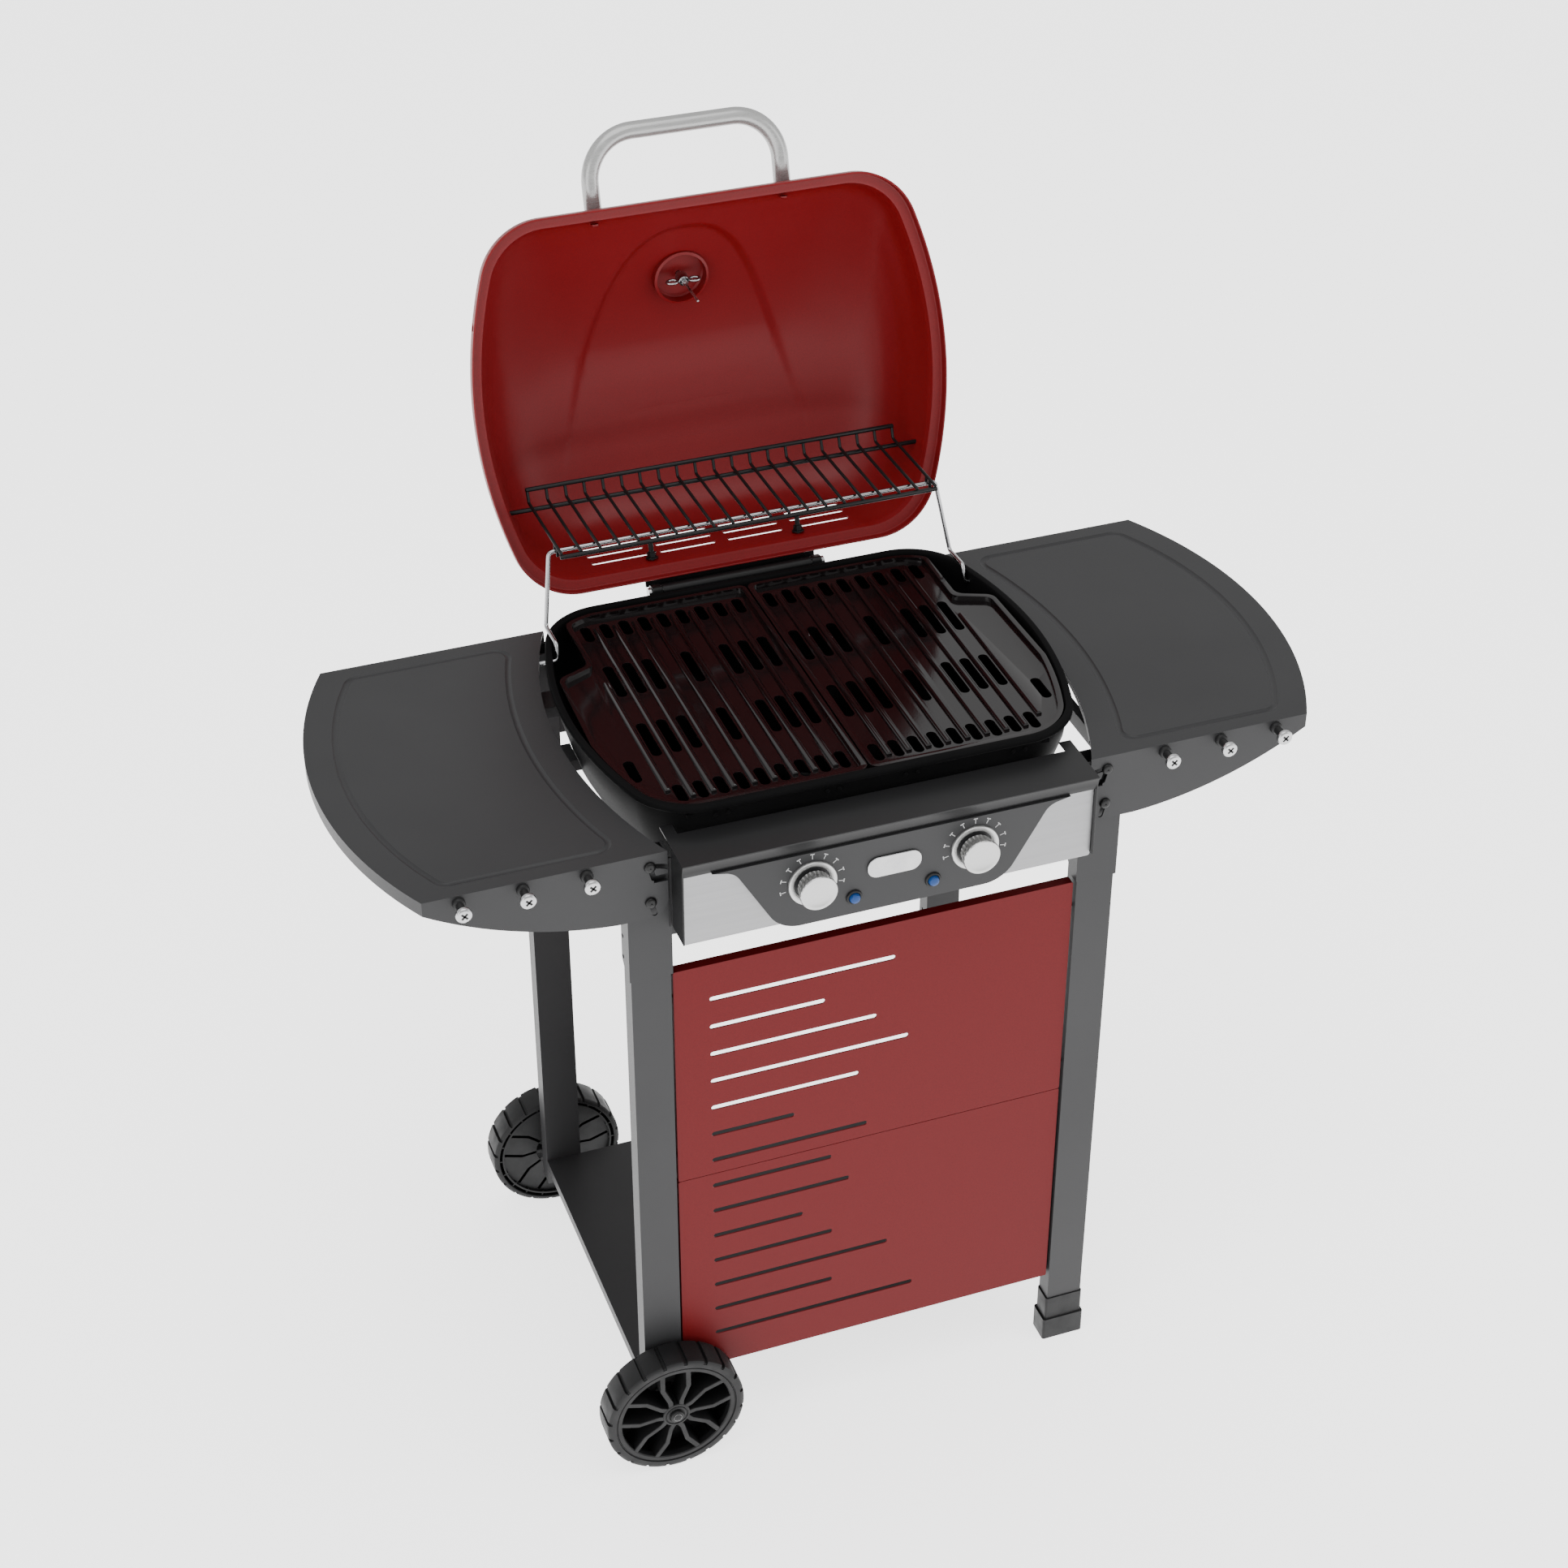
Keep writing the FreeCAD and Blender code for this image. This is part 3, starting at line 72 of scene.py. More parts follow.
# ---- materials ----------------------------------------------------------------------------
class Shader:
    """A principled material with shortcuts for the noise, mix and bump nodes round it."""

    def __init__(self, name, rough, metal=0.0, coat=0.0, coat_rough=0.05, spec=0.5):
        self.mat = bpy.data.materials.new(name)
        self.mat.use_nodes = True
        self.nodes = self.mat.node_tree.nodes
        self.links = self.mat.node_tree.links
        self.bsdf = self.nodes["Principled BSDF"]
        self.bsdf.inputs["Roughness"].default_value = rough
        self.bsdf.inputs["Metallic"].default_value = metal
        self.bsdf.inputs["Coat Weight"].default_value = coat
        self.bsdf.inputs["Coat Roughness"].default_value = coat_rough
        self.bsdf.inputs["Specular IOR Level"].default_value = spec
        self.coords = self.nodes.new("ShaderNodeTexCoord")
        self.height = None

    def noise(self, scale, detail=3.0, stretch=(1, 1, 1), rough=0.5):
        mapping = self.nodes.new("ShaderNodeMapping")
        mapping.inputs["Scale"].default_value = stretch
        tex = self.nodes.new("ShaderNodeTexNoise")
        tex.inputs["Scale"].default_value = scale
        tex.inputs["Detail"].default_value = detail
        tex.inputs["Roughness"].default_value = rough
        self.links.new(self.coords.outputs["Object"], mapping.inputs["Vector"])
        self.links.new(mapping.outputs["Vector"], tex.inputs["Vector"])
        return tex.outputs["Fac"]

    def spread(self, fac, low, high, start=0.3, end=0.7):
        """Maps a texture value from start..end to low..high."""
        node = self.nodes.new("ShaderNodeMapRange")
        node.inputs["From Min"].default_value = start
        node.inputs["From Max"].default_value = end
        node.inputs["To Min"].default_value = low
        node.inputs["To Max"].default_value = high
        self.links.new(fac, node.inputs["Value"])
        return node.outputs["Result"]

    def colour(self, first, second, fac, start=0.3, end=0.7):
        node = self.nodes.new("ShaderNodeMix")
        node.data_type = "RGBA"
        node.inputs["A"].default_value = (*first, 1)
        node.inputs["B"].default_value = (*second, 1)
        self.links.new(self.spread(fac, 0, 1, start, end), node.inputs["Factor"])
        self.links.new(node.outputs["Result"], self.bsdf.inputs["Base Color"])
        return self

    def roughness(self, fac, low, high, start=0.3, end=0.7):
        self.links.new(self.spread(fac, low, high, start, end), self.bsdf.inputs["Roughness"])
        return self

    def bump(self, fac, distance, strength=0.5):
        node = self.nodes.new("ShaderNodeBump")
        node.inputs["Distance"].default_value = distance
        node.inputs["Strength"].default_value = strength
        self.links.new(fac, node.inputs["Height"])
        if self.height:
            self.links.new(self.height, node.inputs["Normal"])
        self.height = node.outputs["Normal"]
        self.links.new(self.height, self.bsdf.inputs["Normal"])
        return self


def enamel(name, first, second, rough=0.12, peel=0.0001):
    """Glossy stove enamel: faint waviness, orange peel, slow colour drift."""
    s = Shader(name, rough, coat=0.12, coat_rough=0.06, spec=0.42)
    s.colour(first, second, s.noise(3.5, 4))
    s.roughness(s.noise(9.0, 5), rough * 0.8, rough * 1.3)
    s.bump(s.noise(26.0, 1), peel * 2.0, 0.3)
    s.bump(s.noise(420.0, 2), peel, 0.25)
    return s.mat


def powder_coat(name, first, second, rough, grain=0.00005, scale=1900.0, spec=0.24, speck=False):
    """Satin baked paint: fine texture, even sheen, specks that are a little lighter."""
    s = Shader(name, rough, spec=spec)
    drift = s.noise(4.0, 4)
    if speck:
        drift = s.noise(900.0, 2, rough=0.7)
    s.colour(first, second, drift, 0.35, 0.65)
    s.roughness(s.noise(700.0, 3), rough - 0.03, rough + 0.04)
    s.bump(s.noise(scale, 2), grain, 0.45)
    return s.mat


def brushed(name, first, second, rough, stretch, metal=1.0, line=0.00003):
    """Steel with fine lines; stretch is small along the lines and large across them."""
    s = Shader(name, rough, metal=metal)
    lines = s.noise(46.0, 8, stretch, 0.65)
    s.colour(first, second, lines, 0.34, 0.66)
    s.roughness(lines, rough - 0.07, rough + 0.10, 0.35, 0.65)
    s.bump(lines, line, 0.35)
    return s.mat


def plated(name, first, second, rough):
    """Bright plating: tiny pits and a slightly cloudy sheen."""
    s = Shader(name, rough, metal=1.0)
    s.colour(first, second, s.noise(45.0, 4))
    s.roughness(s.noise(140.0, 4), rough * 0.6, rough * 1.7)
    s.bump(s.noise(900.0, 2), 0.00002, 0.25)
    return s.mat


def moulded(name, first, second, rough, grain=0.00008, scale=1100.0):
    """Injection-moulded plastic with a spark-eroded grain."""
    s = Shader(name, rough, spec=0.24)
    s.colour(first, second, s.noise(14.0, 4))
    s.roughness(s.noise(60.0, 5), rough - 0.08, rough + 0.1)
    s.bump(s.noise(scale, 3), grain, 0.5)
    return s.mat


M = {
    "lid_red": powder_coat("lid_red_paint", (0.185, 0.0045, 0.0065), (0.135, 0.003, 0.0045), 0.40,
                           0.00006, 1500.0, 0.30, True),
    "black_enamel": enamel("grate_enamel", (0.0035, 0.0028, 0.003), (0.006, 0.0042, 0.0045), 0.10),
    "tub_black": powder_coat("tub_black", (0.0045, 0.0045, 0.0047), (0.007, 0.007, 0.0072), 0.40,
                             spec=0.012),
    "panel_red": powder_coat("panel_red_paint", (0.116, 0.0048, 0.0060), (0.096, 0.0036, 0.0048), 0.42,
                             spec=0.12, speck=True),
    "dark_grey": powder_coat("dark_grey_paint", (0.0225, 0.0225, 0.0235), (0.027, 0.027, 0.028), 0.44),
    # painted shade: a darker copy of the dark grey paint, standing in for the shade that the tub and lid
    # cast on the panel cover
    "cover_painted_shade": powder_coat("cover_grey_painted_shade", (0.0095, 0.0095, 0.010), (0.0125, 0.0125, 0.013),
                              0.36),
    "fascia_grey": powder_coat("fascia_grey_paint", (0.021, 0.021, 0.022), (0.025, 0.025, 0.026), 0.42),
    "plate": brushed("brushed_plate", (0.27, 0.27, 0.275), (0.29, 0.29, 0.295), 0.44, (0.12, 6, 9)),
    "handle": brushed("satin_handle", (0.36, 0.36, 0.355), (0.39, 0.39, 0.385), 0.27, (0.4, 5, 5),
                      metal=0.6),
    "knob": brushed("knob_satin", (0.46, 0.46, 0.455), (0.50, 0.50, 0.495), 0.34, (3, 0.5, 3)),
    "chrome": plated("bright_chrome", (0.42, 0.42, 0.43), (0.37, 0.37, 0.38), 0.16),
    "screw": plated("zinc_screw", (0.50, 0.50, 0.50), (0.42, 0.42, 0.43), 0.2),
    "sheet": brushed("plain_sheet_steel", (0.20, 0.20, 0.20), (0.26, 0.26, 0.26), 0.38, (2, 2, 2)),
    "black_plastic": moulded("black_plastic", (0.0065, 0.0065, 0.0068), (0.010, 0.010, 0.0105), 0.46),
    "wheel_plastic": moulded("wheel_plastic", (0.0065, 0.0065, 0.0068), (0.010, 0.010, 0.0105), 0.50,
                             0.0001),
    "black_steel": powder_coat("black_steel", (0.0045, 0.0045, 0.0047), (0.0075, 0.0075, 0.0078), 0.34),
    "blue": moulded("blue_button", (0.004, 0.036, 0.15), (0.006, 0.046, 0.18), 0.22, 0.00002),
    "cast": moulded("cast_aluminium", (0.30, 0.30, 0.30), (0.36, 0.36, 0.35), 0.42, 0.00015, 500.0),
    "ceramic": moulded("white_ceramic", (0.52, 0.50, 0.46), (0.60, 0.58, 0.54), 0.2, 0.00002),
    "ink": moulded("pale_marks", (0.40, 0.40, 0.40), (0.46, 0.46, 0.46), 0.5, 0.00001),
    "dial": moulded("dial_face", (0.46, 0.46, 0.44), (0.52, 0.52, 0.50), 0.4, 0.00001),
}
M["cast"].node_tree.nodes["Principled BSDF"].inputs["Metallic"].default_value = 0.85


# ---- mesh helpers: all return (points, faces) in millimetres -------------------------------
def join(*meshes):
    points, faces = [], []
    for p, f in meshes:
        base = len(points)
        points += list(p)
        faces += [[i + base for i in face] for face in f]
    return points, faces


def moved(mesh, dx=0.0, dy=0.0, dz=0.0):
    return [(x + dx, y + dy, z + dz) for x, y, z in mesh[0]], mesh[1]


def mirrored(mesh, axis):
    s = [1, 1, 1]
    s[axis] = -1
    return [(x * s[0], y * s[1], z * s[2]) for x, y, z in mesh[0]], [f[::-1] for f in mesh[1]]


def turned(mesh, centre, axis, degrees):
    m = Matrix.Rotation(math.radians(degrees), 3, axis)
    c = Vector(centre)
    return [tuple(m @ (Vector(p) - c) + c) for p in mesh[0]], mesh[1]


def opened(mesh):
    """From the closed lid to the open one."""
    return turned(mesh, (0, HINGE_Y, HINGE_Z), "X", -LID_OPEN)


def lathe(profile, start, direction, n=48, flutes=None):
    """Solid of revolution; profile is (radius, distance along the axis) from end to end.
    flutes is (count, depth, from, to): scallops cut into radii between two distances."""
    d = Vector(direction).normalized()
    a = d.orthogonal().normalized()
    b = d.cross(a)
    points, faces, rows = [], [], []
    for r, t in profile:
        row = []
        if r < 1e-6:
            points.append(tuple(Vector(start) + d * t))
            row = [len(points) - 1] * n
        else:
            for k in range(n):
                w = 2 * math.pi * k / n
                rr = r
                if flutes and flutes[2] <= t <= flutes[3]:
                    rr = r - flutes[1] * (0.5 + 0.5 * math.cos(flutes[0] * w)) ** 2
                points.append(tuple(Vector(start) + d * t + (a * math.cos(w) + b * math.sin(w)) * rr))
                row.append(len(points) - 1)
        rows.append(row)
    for lo, hi in zip(rows, rows[1:]):
        for k in range(n):
            m = (k + 1) % n
            quad = []
            for i in (lo[k], lo[m], hi[m], hi[k]):
                if i not in quad:
                    quad.append(i)
            if len(quad) > 2:
                faces.append(quad)
    return points, faces


def drill(r, depth, start, direction, n=20):
    """Round cutter that goes in from a point."""
    return lathe([(0, 0), (r, 0), (r, depth), (0, depth)], start, direction, n)


def prism(outline, axis, low, high):
    """2-D outline extruded along an axis; outline is in the other two coordinates, in order."""
    place = {"x": lambda u, w, t: (t, u, w),
             "y": lambda u, w, t: (u, t, w),
             "z": lambda u, w, t: (u, w, t)}
    put = place[axis]
    n = len(outline)
    points = [put(u, w, low) for u, w in outline] + [put(u, w, high) for u, w in outline]
    faces = [list(range(n))[::-1], [n + i for i in range(n)]]
    faces += [[i, (i + 1) % n, n + (i + 1) % n, n + i] for i in range(n)]
    return points, faces


def cuboid(x0, x1, y0, y1, z0, z1):
    return prism([(x0, y0), (x1, y0), (x1, y1), (x0, y1)], "z", z0, z1)


def rounded(corners, radius, steps=6):
    """2-D polygon with its corners rounded; radius is one number or one for each corner."""
    out, n = [], len(corners)
    radii = radius if isinstance(radius, (list, tuple)) else [radius] * n
    for i in range(n):
        p, q, r = Vector(corners[i - 1]), Vector(corners[i]), Vector(corners[(i + 1) % n])
        a, b = (p - q).normalized(), (r - q).normalized()
        angle = math.acos(max(-1, min(1, a.dot(b))))
        if radii[i] <= 0 or abs(math.pi - angle) < 1e-3:
            out.append(tuple(q))
            continue
        centre = q + (a + b).normalized() * (radii[i] / math.sin(angle / 2))
        reach = radii[i] / math.tan(angle / 2)
        start, end = q + a * reach - centre, q + b * reach - centre
        w0 = math.atan2(start.y, start.x)
        dw = (math.atan2(end.y, end.x) - w0 + math.pi) % (2 * math.pi) - math.pi
        for k in range(steps + 1):
            w = w0 + dw * k / steps
            out.append((centre.x + radii[i] * math.cos(w), centre.y + radii[i] * math.sin(w)))
    return out


def bent_path(points, bend, steps=6):
    """3-D path with every inner corner rounded."""
    pts = [Vector(p) for p in points]
    out = [pts[0]]
    for i in range(1, len(pts) - 1):
        a, b = (pts[i - 1] - pts[i]).normalized(), (pts[i + 1] - pts[i]).normalized()
        angle = math.acos(max(-1, min(1, a.dot(b))))
        if math.pi - angle < 1e-3:
            out.append(pts[i])
            continue
        reach = bend / math.tan(angle / 2)
        centre = pts[i] + (a + b).normalized() * (bend / math.sin(angle / 2))
        u, v = pts[i] + a * reach - centre, pts[i] + b * reach - centre
        for k in range(steps + 1):
            w = k / steps
            out.append(centre + u.slerp(v, w) * bend)
    out.append(pts[-1])
    return out


def sweep(points, r, bend=0.0, n=12, steps=6, closed=False):
    """Round rod along a path, with slightly rounded ends."""
    path = bent_path(points, bend, steps) if bend else [Vector(p) for p in points]
    verts, faces, count = [], [], len(path)
    side = (path[1] - path[0]).normalized().orthogonal().normalized()
    rings = []
    for i, p in enumerate(path):
        if closed:
            t = (path[(i + 1) % count] - path[i - 1]).normalized()
        else:
            t = (path[min(i + 1, count - 1)] - path[max(i - 1, 0)]).normalized()
        side = (side - t * side.dot(t)).normalized()
        up = t.cross(side)
        rings.append((p, side.copy(), up, t))
    loops = []
    if not closed:
        p, s, u, t = rings[0]
        loops.append((p, s, u, r * 0.7))
        loops.append((p + t * r * 0.3, s, u, r))
        loops += [(q, s2, u2, r) for q, s2, u2, _ in rings[1:-1]]
        p, s, u, t = rings[-1]
        loops.append((p - t * r * 0.3, s, u, r))
        loops.append((p, s, u, r * 0.7))
    else:
        loops = [(p, s, u, r) for p, s, u, _ in rings]
    for p, s, u, rr in loops:
        for k in range(n):
            w = 2 * math.pi * k / n
            verts.append(tuple(p + (s * math.cos(w) + u * math.sin(w)) * rr))
    m = len(loops)
    for i in range(m if closed else m - 1):
        j = (i + 1) % m
        for k in range(n):
            q = (k + 1) % n
            faces.append([i * n + k, i * n + q, j * n + q, j * n + k])
    if not closed:
        faces.append(list(range(n))[::-1])
        faces.append([(m - 1) * n + k for k in range(n)])
    return verts, faces


def bowed(z, front, back, side, corner, straight=60, arc=20, flank=28):
    """One ring: straight front and back, rounded corners and gently bowed sides.
    Every ring has the same number of points, so that rings can be skinned together."""
    drop = BULGE * (back - front)
    half, mid = (back - front) / 2, (front + back) / 2
    low, high = 0.0, half
    for _ in range(40):
        reach = (low + high) / 2
        slope = 2 * drop * reach / half ** 2
        if reach - corner * slope / math.hypot(1, slope) < half - corner:
            low = reach
        else:
            high = reach
    centre = side - drop * (reach / half) ** 2 - corner / math.hypot(1, slope)
    quarter = [(centre * k / straight, half) for k in range(straight)]
    last = math.atan2(slope, 1)
    for k in range(arc):
        w = math.pi / 2 + (last - math.pi / 2) * k / arc
        quarter.append((centre + corner * math.cos(w), half - corner + corner * math.sin(w)))
    for k in range(flank):
        h = reach * (1 - k / flank)
        quarter.append((side - drop * (h / half) ** 2, h))
    back_half = quarter + [(side, 0.0)] + [(x, -h) for x, h in quarter[:0:-1]]
    ring = back_half + [(-x, -h) for x, h in back_half]
    return [(x, mid - h, z) for x, h in ring]


def skin(rings, cap_first=False, cap_last=False):
    """Surface through rings of the same length."""
    n = len(rings[0])
    points = [p for ring in rings for p in ring]
    faces = []
    m = len(rings)
    for i in range(m - 1):
        for k in range(n):
            q = (k + 1) % n
            faces.append([i * n + k, i * n + q, (i + 1) * n + q, (i + 1) * n + k])
    if cap_first:
        faces.append(list(range(n))[::-1])
    if cap_last:
        faces.append([(m - 1) * n + k for k in range(n)])
    return points, faces


# ---- making pieces ------------------------------------------------------------------------
def add_bevel(obj, width, segments=2, angle=38):
    mod = obj.modifiers.new("edges", "BEVEL")
    mod.width = width / 1000
    mod.segments = segments
    mod.limit_method = "ANGLE"
    mod.angle_limit = math.radians(angle)
    mod.harden_normals = True


def in_metres(name, mesh):
    """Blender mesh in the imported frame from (points, faces) in millimetres."""
    data = bpy.data.meshes.new(name)
    data.from_pydata([(x / 1000, (y - ORIGIN_Y) / 1000, z / 1000) for x, y, z in mesh[0]], [], mesh[1])
    return data


def mend(data, weld=0.0, flat=0.0):
    """Welds close points, joins faces that lie flat (degrees) and turns all faces outwards."""
    bm = bmesh.new()
    bm.from_mesh(data)
    if weld:
        bmesh.ops.remove_doubles(bm, verts=bm.verts, dist=weld)
    if flat:
        bmesh.ops.dissolve_limit(bm, angle_limit=math.radians(flat), verts=bm.verts, edges=bm.edges)
    bmesh.ops.recalc_face_normals(bm, faces=bm.faces)
    bm.to_mesh(data)
    bm.free()


def shade(data, smooth):
    """Smooth shading, apart from edges sharper than an angle."""
    data.shade_smooth()
    data.set_sharp_from_angle(angle=math.radians(smooth))


def linked(name, data):
    obj = bpy.data.objects.new(name, data)
    bpy.context.scene.collection.objects.link(obj)
    return obj


def piece(name, mesh, mat, body, nodes=(), bevel=0.0, segments=2, smooth=34):
    """Makes one object, lets it ride on a body and stand for CAD nodes."""
    data = in_metres(name, mesh)
    data.validate()
    mend(data, weld=1e-6)
    shade(data, smooth)
    data.materials.append(M[mat])
    obj = linked(name, data)
    if bevel:
        add_bevel(obj, bevel, segments)
    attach(obj, body)
    if nodes:
        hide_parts(*nodes)
    return obj


def body_of(node):
    for body, nodes in frame["record"]["behaviour"]["bodies"].items():
        if node in nodes:
            return body
    return "cart"


def soften(node, mat, width, segments=2, smooth=34):
    """Stands for a CAD node with the same shape and rounded edges."""
    data = frame["nodes"][node].data.copy()
    mend(data, weld=2e-6, flat=0.6)
    shade(data, smooth)
    data.materials.clear()
    data.materials.append(M[mat])
    obj = linked(node + "_soft", data)
    add_bevel(obj, width, segments)
    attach(obj, body_of(node))
    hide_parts(node)
    return obj


def paint(node, mat):
    """Gives a CAD mesh that stays as it is one of the materials."""
    frame["nodes"][node].data.materials[0] = M[mat]


def cut(obj, cutter_mesh, smooth=34):
    """Cuts closed cutters out of a piece, for good."""
    data = in_metres("cutter", cutter_mesh)
    mend(data)
    tool = linked("cutter", data)
    mod = obj.modifiers.new("cut", "BOOLEAN")
    mod.operation = "DIFFERENCE"
    mod.solver = "EXACT"
    mod.object = tool
    bpy.context.view_layer.update()
    result = bpy.data.meshes.new_from_object(obj.evaluated_get(bpy.context.evaluated_depsgraph_get()))
    obj.modifiers.clear()
    obj.data = result
    bpy.data.objects.remove(tool)
    shade(result, smooth)
    weigh = obj.modifiers.new("flat faces", "WEIGHTED_NORMAL")
    weigh.keep_sharp = True


# ---- screw heads --------------------------------------------------------------------------
def pan_head(r, height, start, direction):
    """Domed screw head with a flat middle."""
    return lathe([(0, 0), (r, 0), (r, height * 0.25), (r * 0.94, height * 0.6), (r * 0.78, height * 0.86),
                  (r * 0.5, height), (0, height)], start, direction, 32)


def cross(r, start, direction, depth=0.12):
    """Dark cross that reads as the driver's recess: painted shade, since no recess is cut."""
    d = Vector(direction).normalized()
    a = d.orthogonal().normalized()
    b = d.cross(a)
    arms = []
    for u, v in ((a, b), (b, a)):
        corners = [Vector(start) + u * i * r + v * j * r * 0.26 + d * k
                   for k in (-depth, depth) for i, j in ((-1, -1), (1, -1), (1, 1), (-1, 1))]
        arms.append(([tuple(p) for p in corners],
                     [[3, 2, 1, 0], [4, 5, 6, 7], [0, 1, 5, 4], [1, 2, 6, 5], [2, 3, 7, 6], [3, 0, 4, 7]]))
    return join(*arms)


# ---- cart ---------------------------------------------------------------------------------
ROUNDED_NODES = (  # CAD node, material, rounding of its edges in mm, steps of the rounding
    ("front_left_leg", "dark_grey", 1.6, 3), ("front_right_leg", "dark_grey", 1.6, 3),
    ("rear_left_leg", "dark_grey", 1.6, 3), ("rear_right_leg", "dark_grey", 1.6, 3),
    ("leg_sleeves", "dark_grey", 1.4, 2), ("cross_rails", "dark_grey", 1.2, 2),
    ("left_side_rail", "dark_grey", 0.7, 2), ("right_side_rail", "dark_grey", 0.7, 2),
    ("firebox_brackets", "dark_grey", 0.5, 2), ("bottom_shelf", "dark_grey", 1.2, 3),
    ("front_panel_upper", "panel_red", 0.55, 2), ("front_panel_lower", "panel_red", 0.55, 2),
    ("front_right_foot", "black_plastic", 1.2, 3), ("rear_right_foot", "black_plastic", 1.2, 3),
    ("tray_rails", "black_steel", 0.4, 2), ("grease_tray", "sheet", 0.4, 2),
    ("flame_tamers", "tub_black", 0.5, 2), ("gas_valves", "cast", 0.8, 2),
    ("hinge_lower", "black_steel", 0.9, 2), ("hinge_upper", "black_steel", 0.9, 2))
for node, mat, width, segments in ROUNDED_NODES:
    soften(node, mat, width, segments)
paint("frame_screws", "black_steel")

SHELF_SCREW_X, SHELF_SCREW_Z = 262.7, (828.0, 874.0)
SCREW_SPOTS = [(sx * SHELF_SCREW_X, sy * -SKIRT_Y, z)
               for sx in (-1, 1) for sy in (-1, 1) for z in SHELF_SCREW_Z]
heads, recess_shades = [], []
for x, y, z in SCREW_SPOTS:
    out = (0, -1, 0) if y < 0 else (0, 1, 0)
    heads.append(pan_head(6.4, 3.4, (x, y + out[1] * 0.4, z), out))
    heads.append(lathe([(2.5, 0), (2.5, 16.6)], (x, y + out[1] * 0.6, z), (0, -out[1], 0), 20))
    # dark cross on each screw head: painted shade for the driver's recess
    recess_shades.append(cross(2.6, (x, y + out[1] * 3.8, z), out))
piece("shelf_screw_heads", join(*heads), "black_steel", "cart", ("shelf_screws",))
piece("shelf_screw_recess_shades", join(*recess_shades), "black_plastic", "cart")


# ---- wheels -------------------------------------------------------------------------------
TREAD_BLOCKS, SPOKE_PAIRS = 20, 5
GROOVE_DEPTH = 3.0
RIM_R = 72.0
SPOKE_HALF_WIDTH = 3.2
SPOKE_PATH = [(6.0, 12.0), (7.0, 22.0), (16.0, 43.5), (16.0, 70.0)]  # half spacing, radius


def wheel_mesh():
    """Outer face at y = 0 towards -Y, hollow ribbed side towards +Y."""
    section = [(67.5, 10.0), (67.5, 2.2), (68.6, 0.9), (73.0, 0.8), (73.8, 1.8), (74.6, 1.8), (75.2, 0.2),
               (80.4, 0.0), (83.2, 0.7), (84.8, 2.0), (WHEEL_R, 4.4), (WHEEL_R, 34.0), (85.0, 36.6),
               (83.4, 38.2), (81.4, WHEEL_WIDTH), (79.0, WHEEL_WIDTH), (78.2, 38.2), (78.2, 9.0),
               (74.5, 7.6)]
    angles = []
    step = 360.0 / TREAD_BLOCKS
    for k in range(TREAD_BLOCKS):
        for a in (-9.0, -6.0, -3.0, -1.75, -1.35, -0.5, 0.5, 1.35, 1.75, 3.0, 6.0):
            angles.append(step * k + a)
    rings = []
    for a in angles:
        off = abs((a + step / 2) % step - step / 2)
        depth = GROOVE_DEPTH if off < 1.5 else 0.0
        w = math.radians(a + step / 2)
        ring = []
        for r, y in section:
            rr = r - (depth if r > 82 else 0)
            ring.append((rr * math.cos(w), y, rr * math.sin(w)))
        rings.append(ring)
    n = len(section)
    points = [p for ring in rings for p in ring]
    faces = []
    for i in range(len(rings)):
        j = (i + 1) % len(rings)
        for k in range(n):
            q = (k + 1) % n
            faces.append([i * n + k, j * n + k, j * n + q, i * n + q])
    tread = (points, faces)
    centre, along = (0, 0, 0), (0, 1, 0)
    hub = lathe([(AXLE_BORE, 1.6), (9.0, 1.6), (9.8, 0.6), (12.4, 0.6), (13.0, 1.6), (13.8, 1.6),
                 (14.4, 0.6), (16.4, 0.8), (17.0, 1.6), (17.0, WHEEL_WIDTH), (AXLE_BORE, WHEEL_WIDTH),
                 (AXLE_BORE, 1.6)], centre, along, 48)
    spokes = []
    for k in range(SPOKE_PAIRS):
        for s in (-1, 1):
            left = [(s * u - SPOKE_HALF_WIDTH, v) for u, v in SPOKE_PATH]
            right = [(s * u + SPOKE_HALF_WIDTH, v) for u, v in SPOKE_PATH]
            bar = prism(left + right[::-1], "y", 1.2, 33.0)
            spokes.append(turned(bar, centre, "Y", 360 / SPOKE_PAIRS * k))
    ribs = []
    for k in range(TREAD_BLOCKS):
        rib = cuboid(-0.9, 0.9, 8.0, 37.0, 71.0, 79.0)
        ribs.append(turned(rib, centre, "Y", step * k))
    inner = lathe([(74.4, 8.0), (74.4, 37.6), (RIM_R, 37.6), (RIM_R, 8.0), (74.4, 8.0)], centre, along, 96)
    disc = lathe([(27.0, 31.0), (73.0, 31.0), (73.0, 33.0), (27.0, 33.0), (27.0, 31.0)], centre, along, 72)
    return join(tread, hub), join(*spokes), join(inner, disc, *ribs)


solid, spokes, cells = wheel_mesh()
for name, y, back in (("front_wheel", FRONT_WHEEL_Y, False), ("rear_wheel", REAR_WHEEL_Y, True)):
    for part_name, mesh, bevel in (("tyre", solid, 0.0), ("spokes", spokes, 1.1), ("cells", cells, 0.0)):
        m = mirrored(mesh, 1) if back else mesh
        m = moved(m, AXLE_X, y, WHEEL_R)
        nodes = (name,) if part_name == "tyre" else ()
        piece(name + "_" + part_name, m, "wheel_plastic", name, nodes, bevel, 2, 28)
caps = []
for y, d in ((FRONT_WHEEL_Y, -1), (REAR_WHEEL_Y, 1)):
    caps.append(lathe([(0, 4.4), (3.4, 4.3), (6.4, 3.7), (8.0, 2.6), (8.6, 1.0), (8.6, 0.5), (5.0, 0.5)],
                      (AXLE_X, y, WHEEL_R), (0, d, 0), 40))
piece("axle_end_caps", join(*caps), "black_plastic", "cart", ("axle_caps",))
paint("axle", "screw")
soften("axle_spacers", "black_plastic", 0.8)


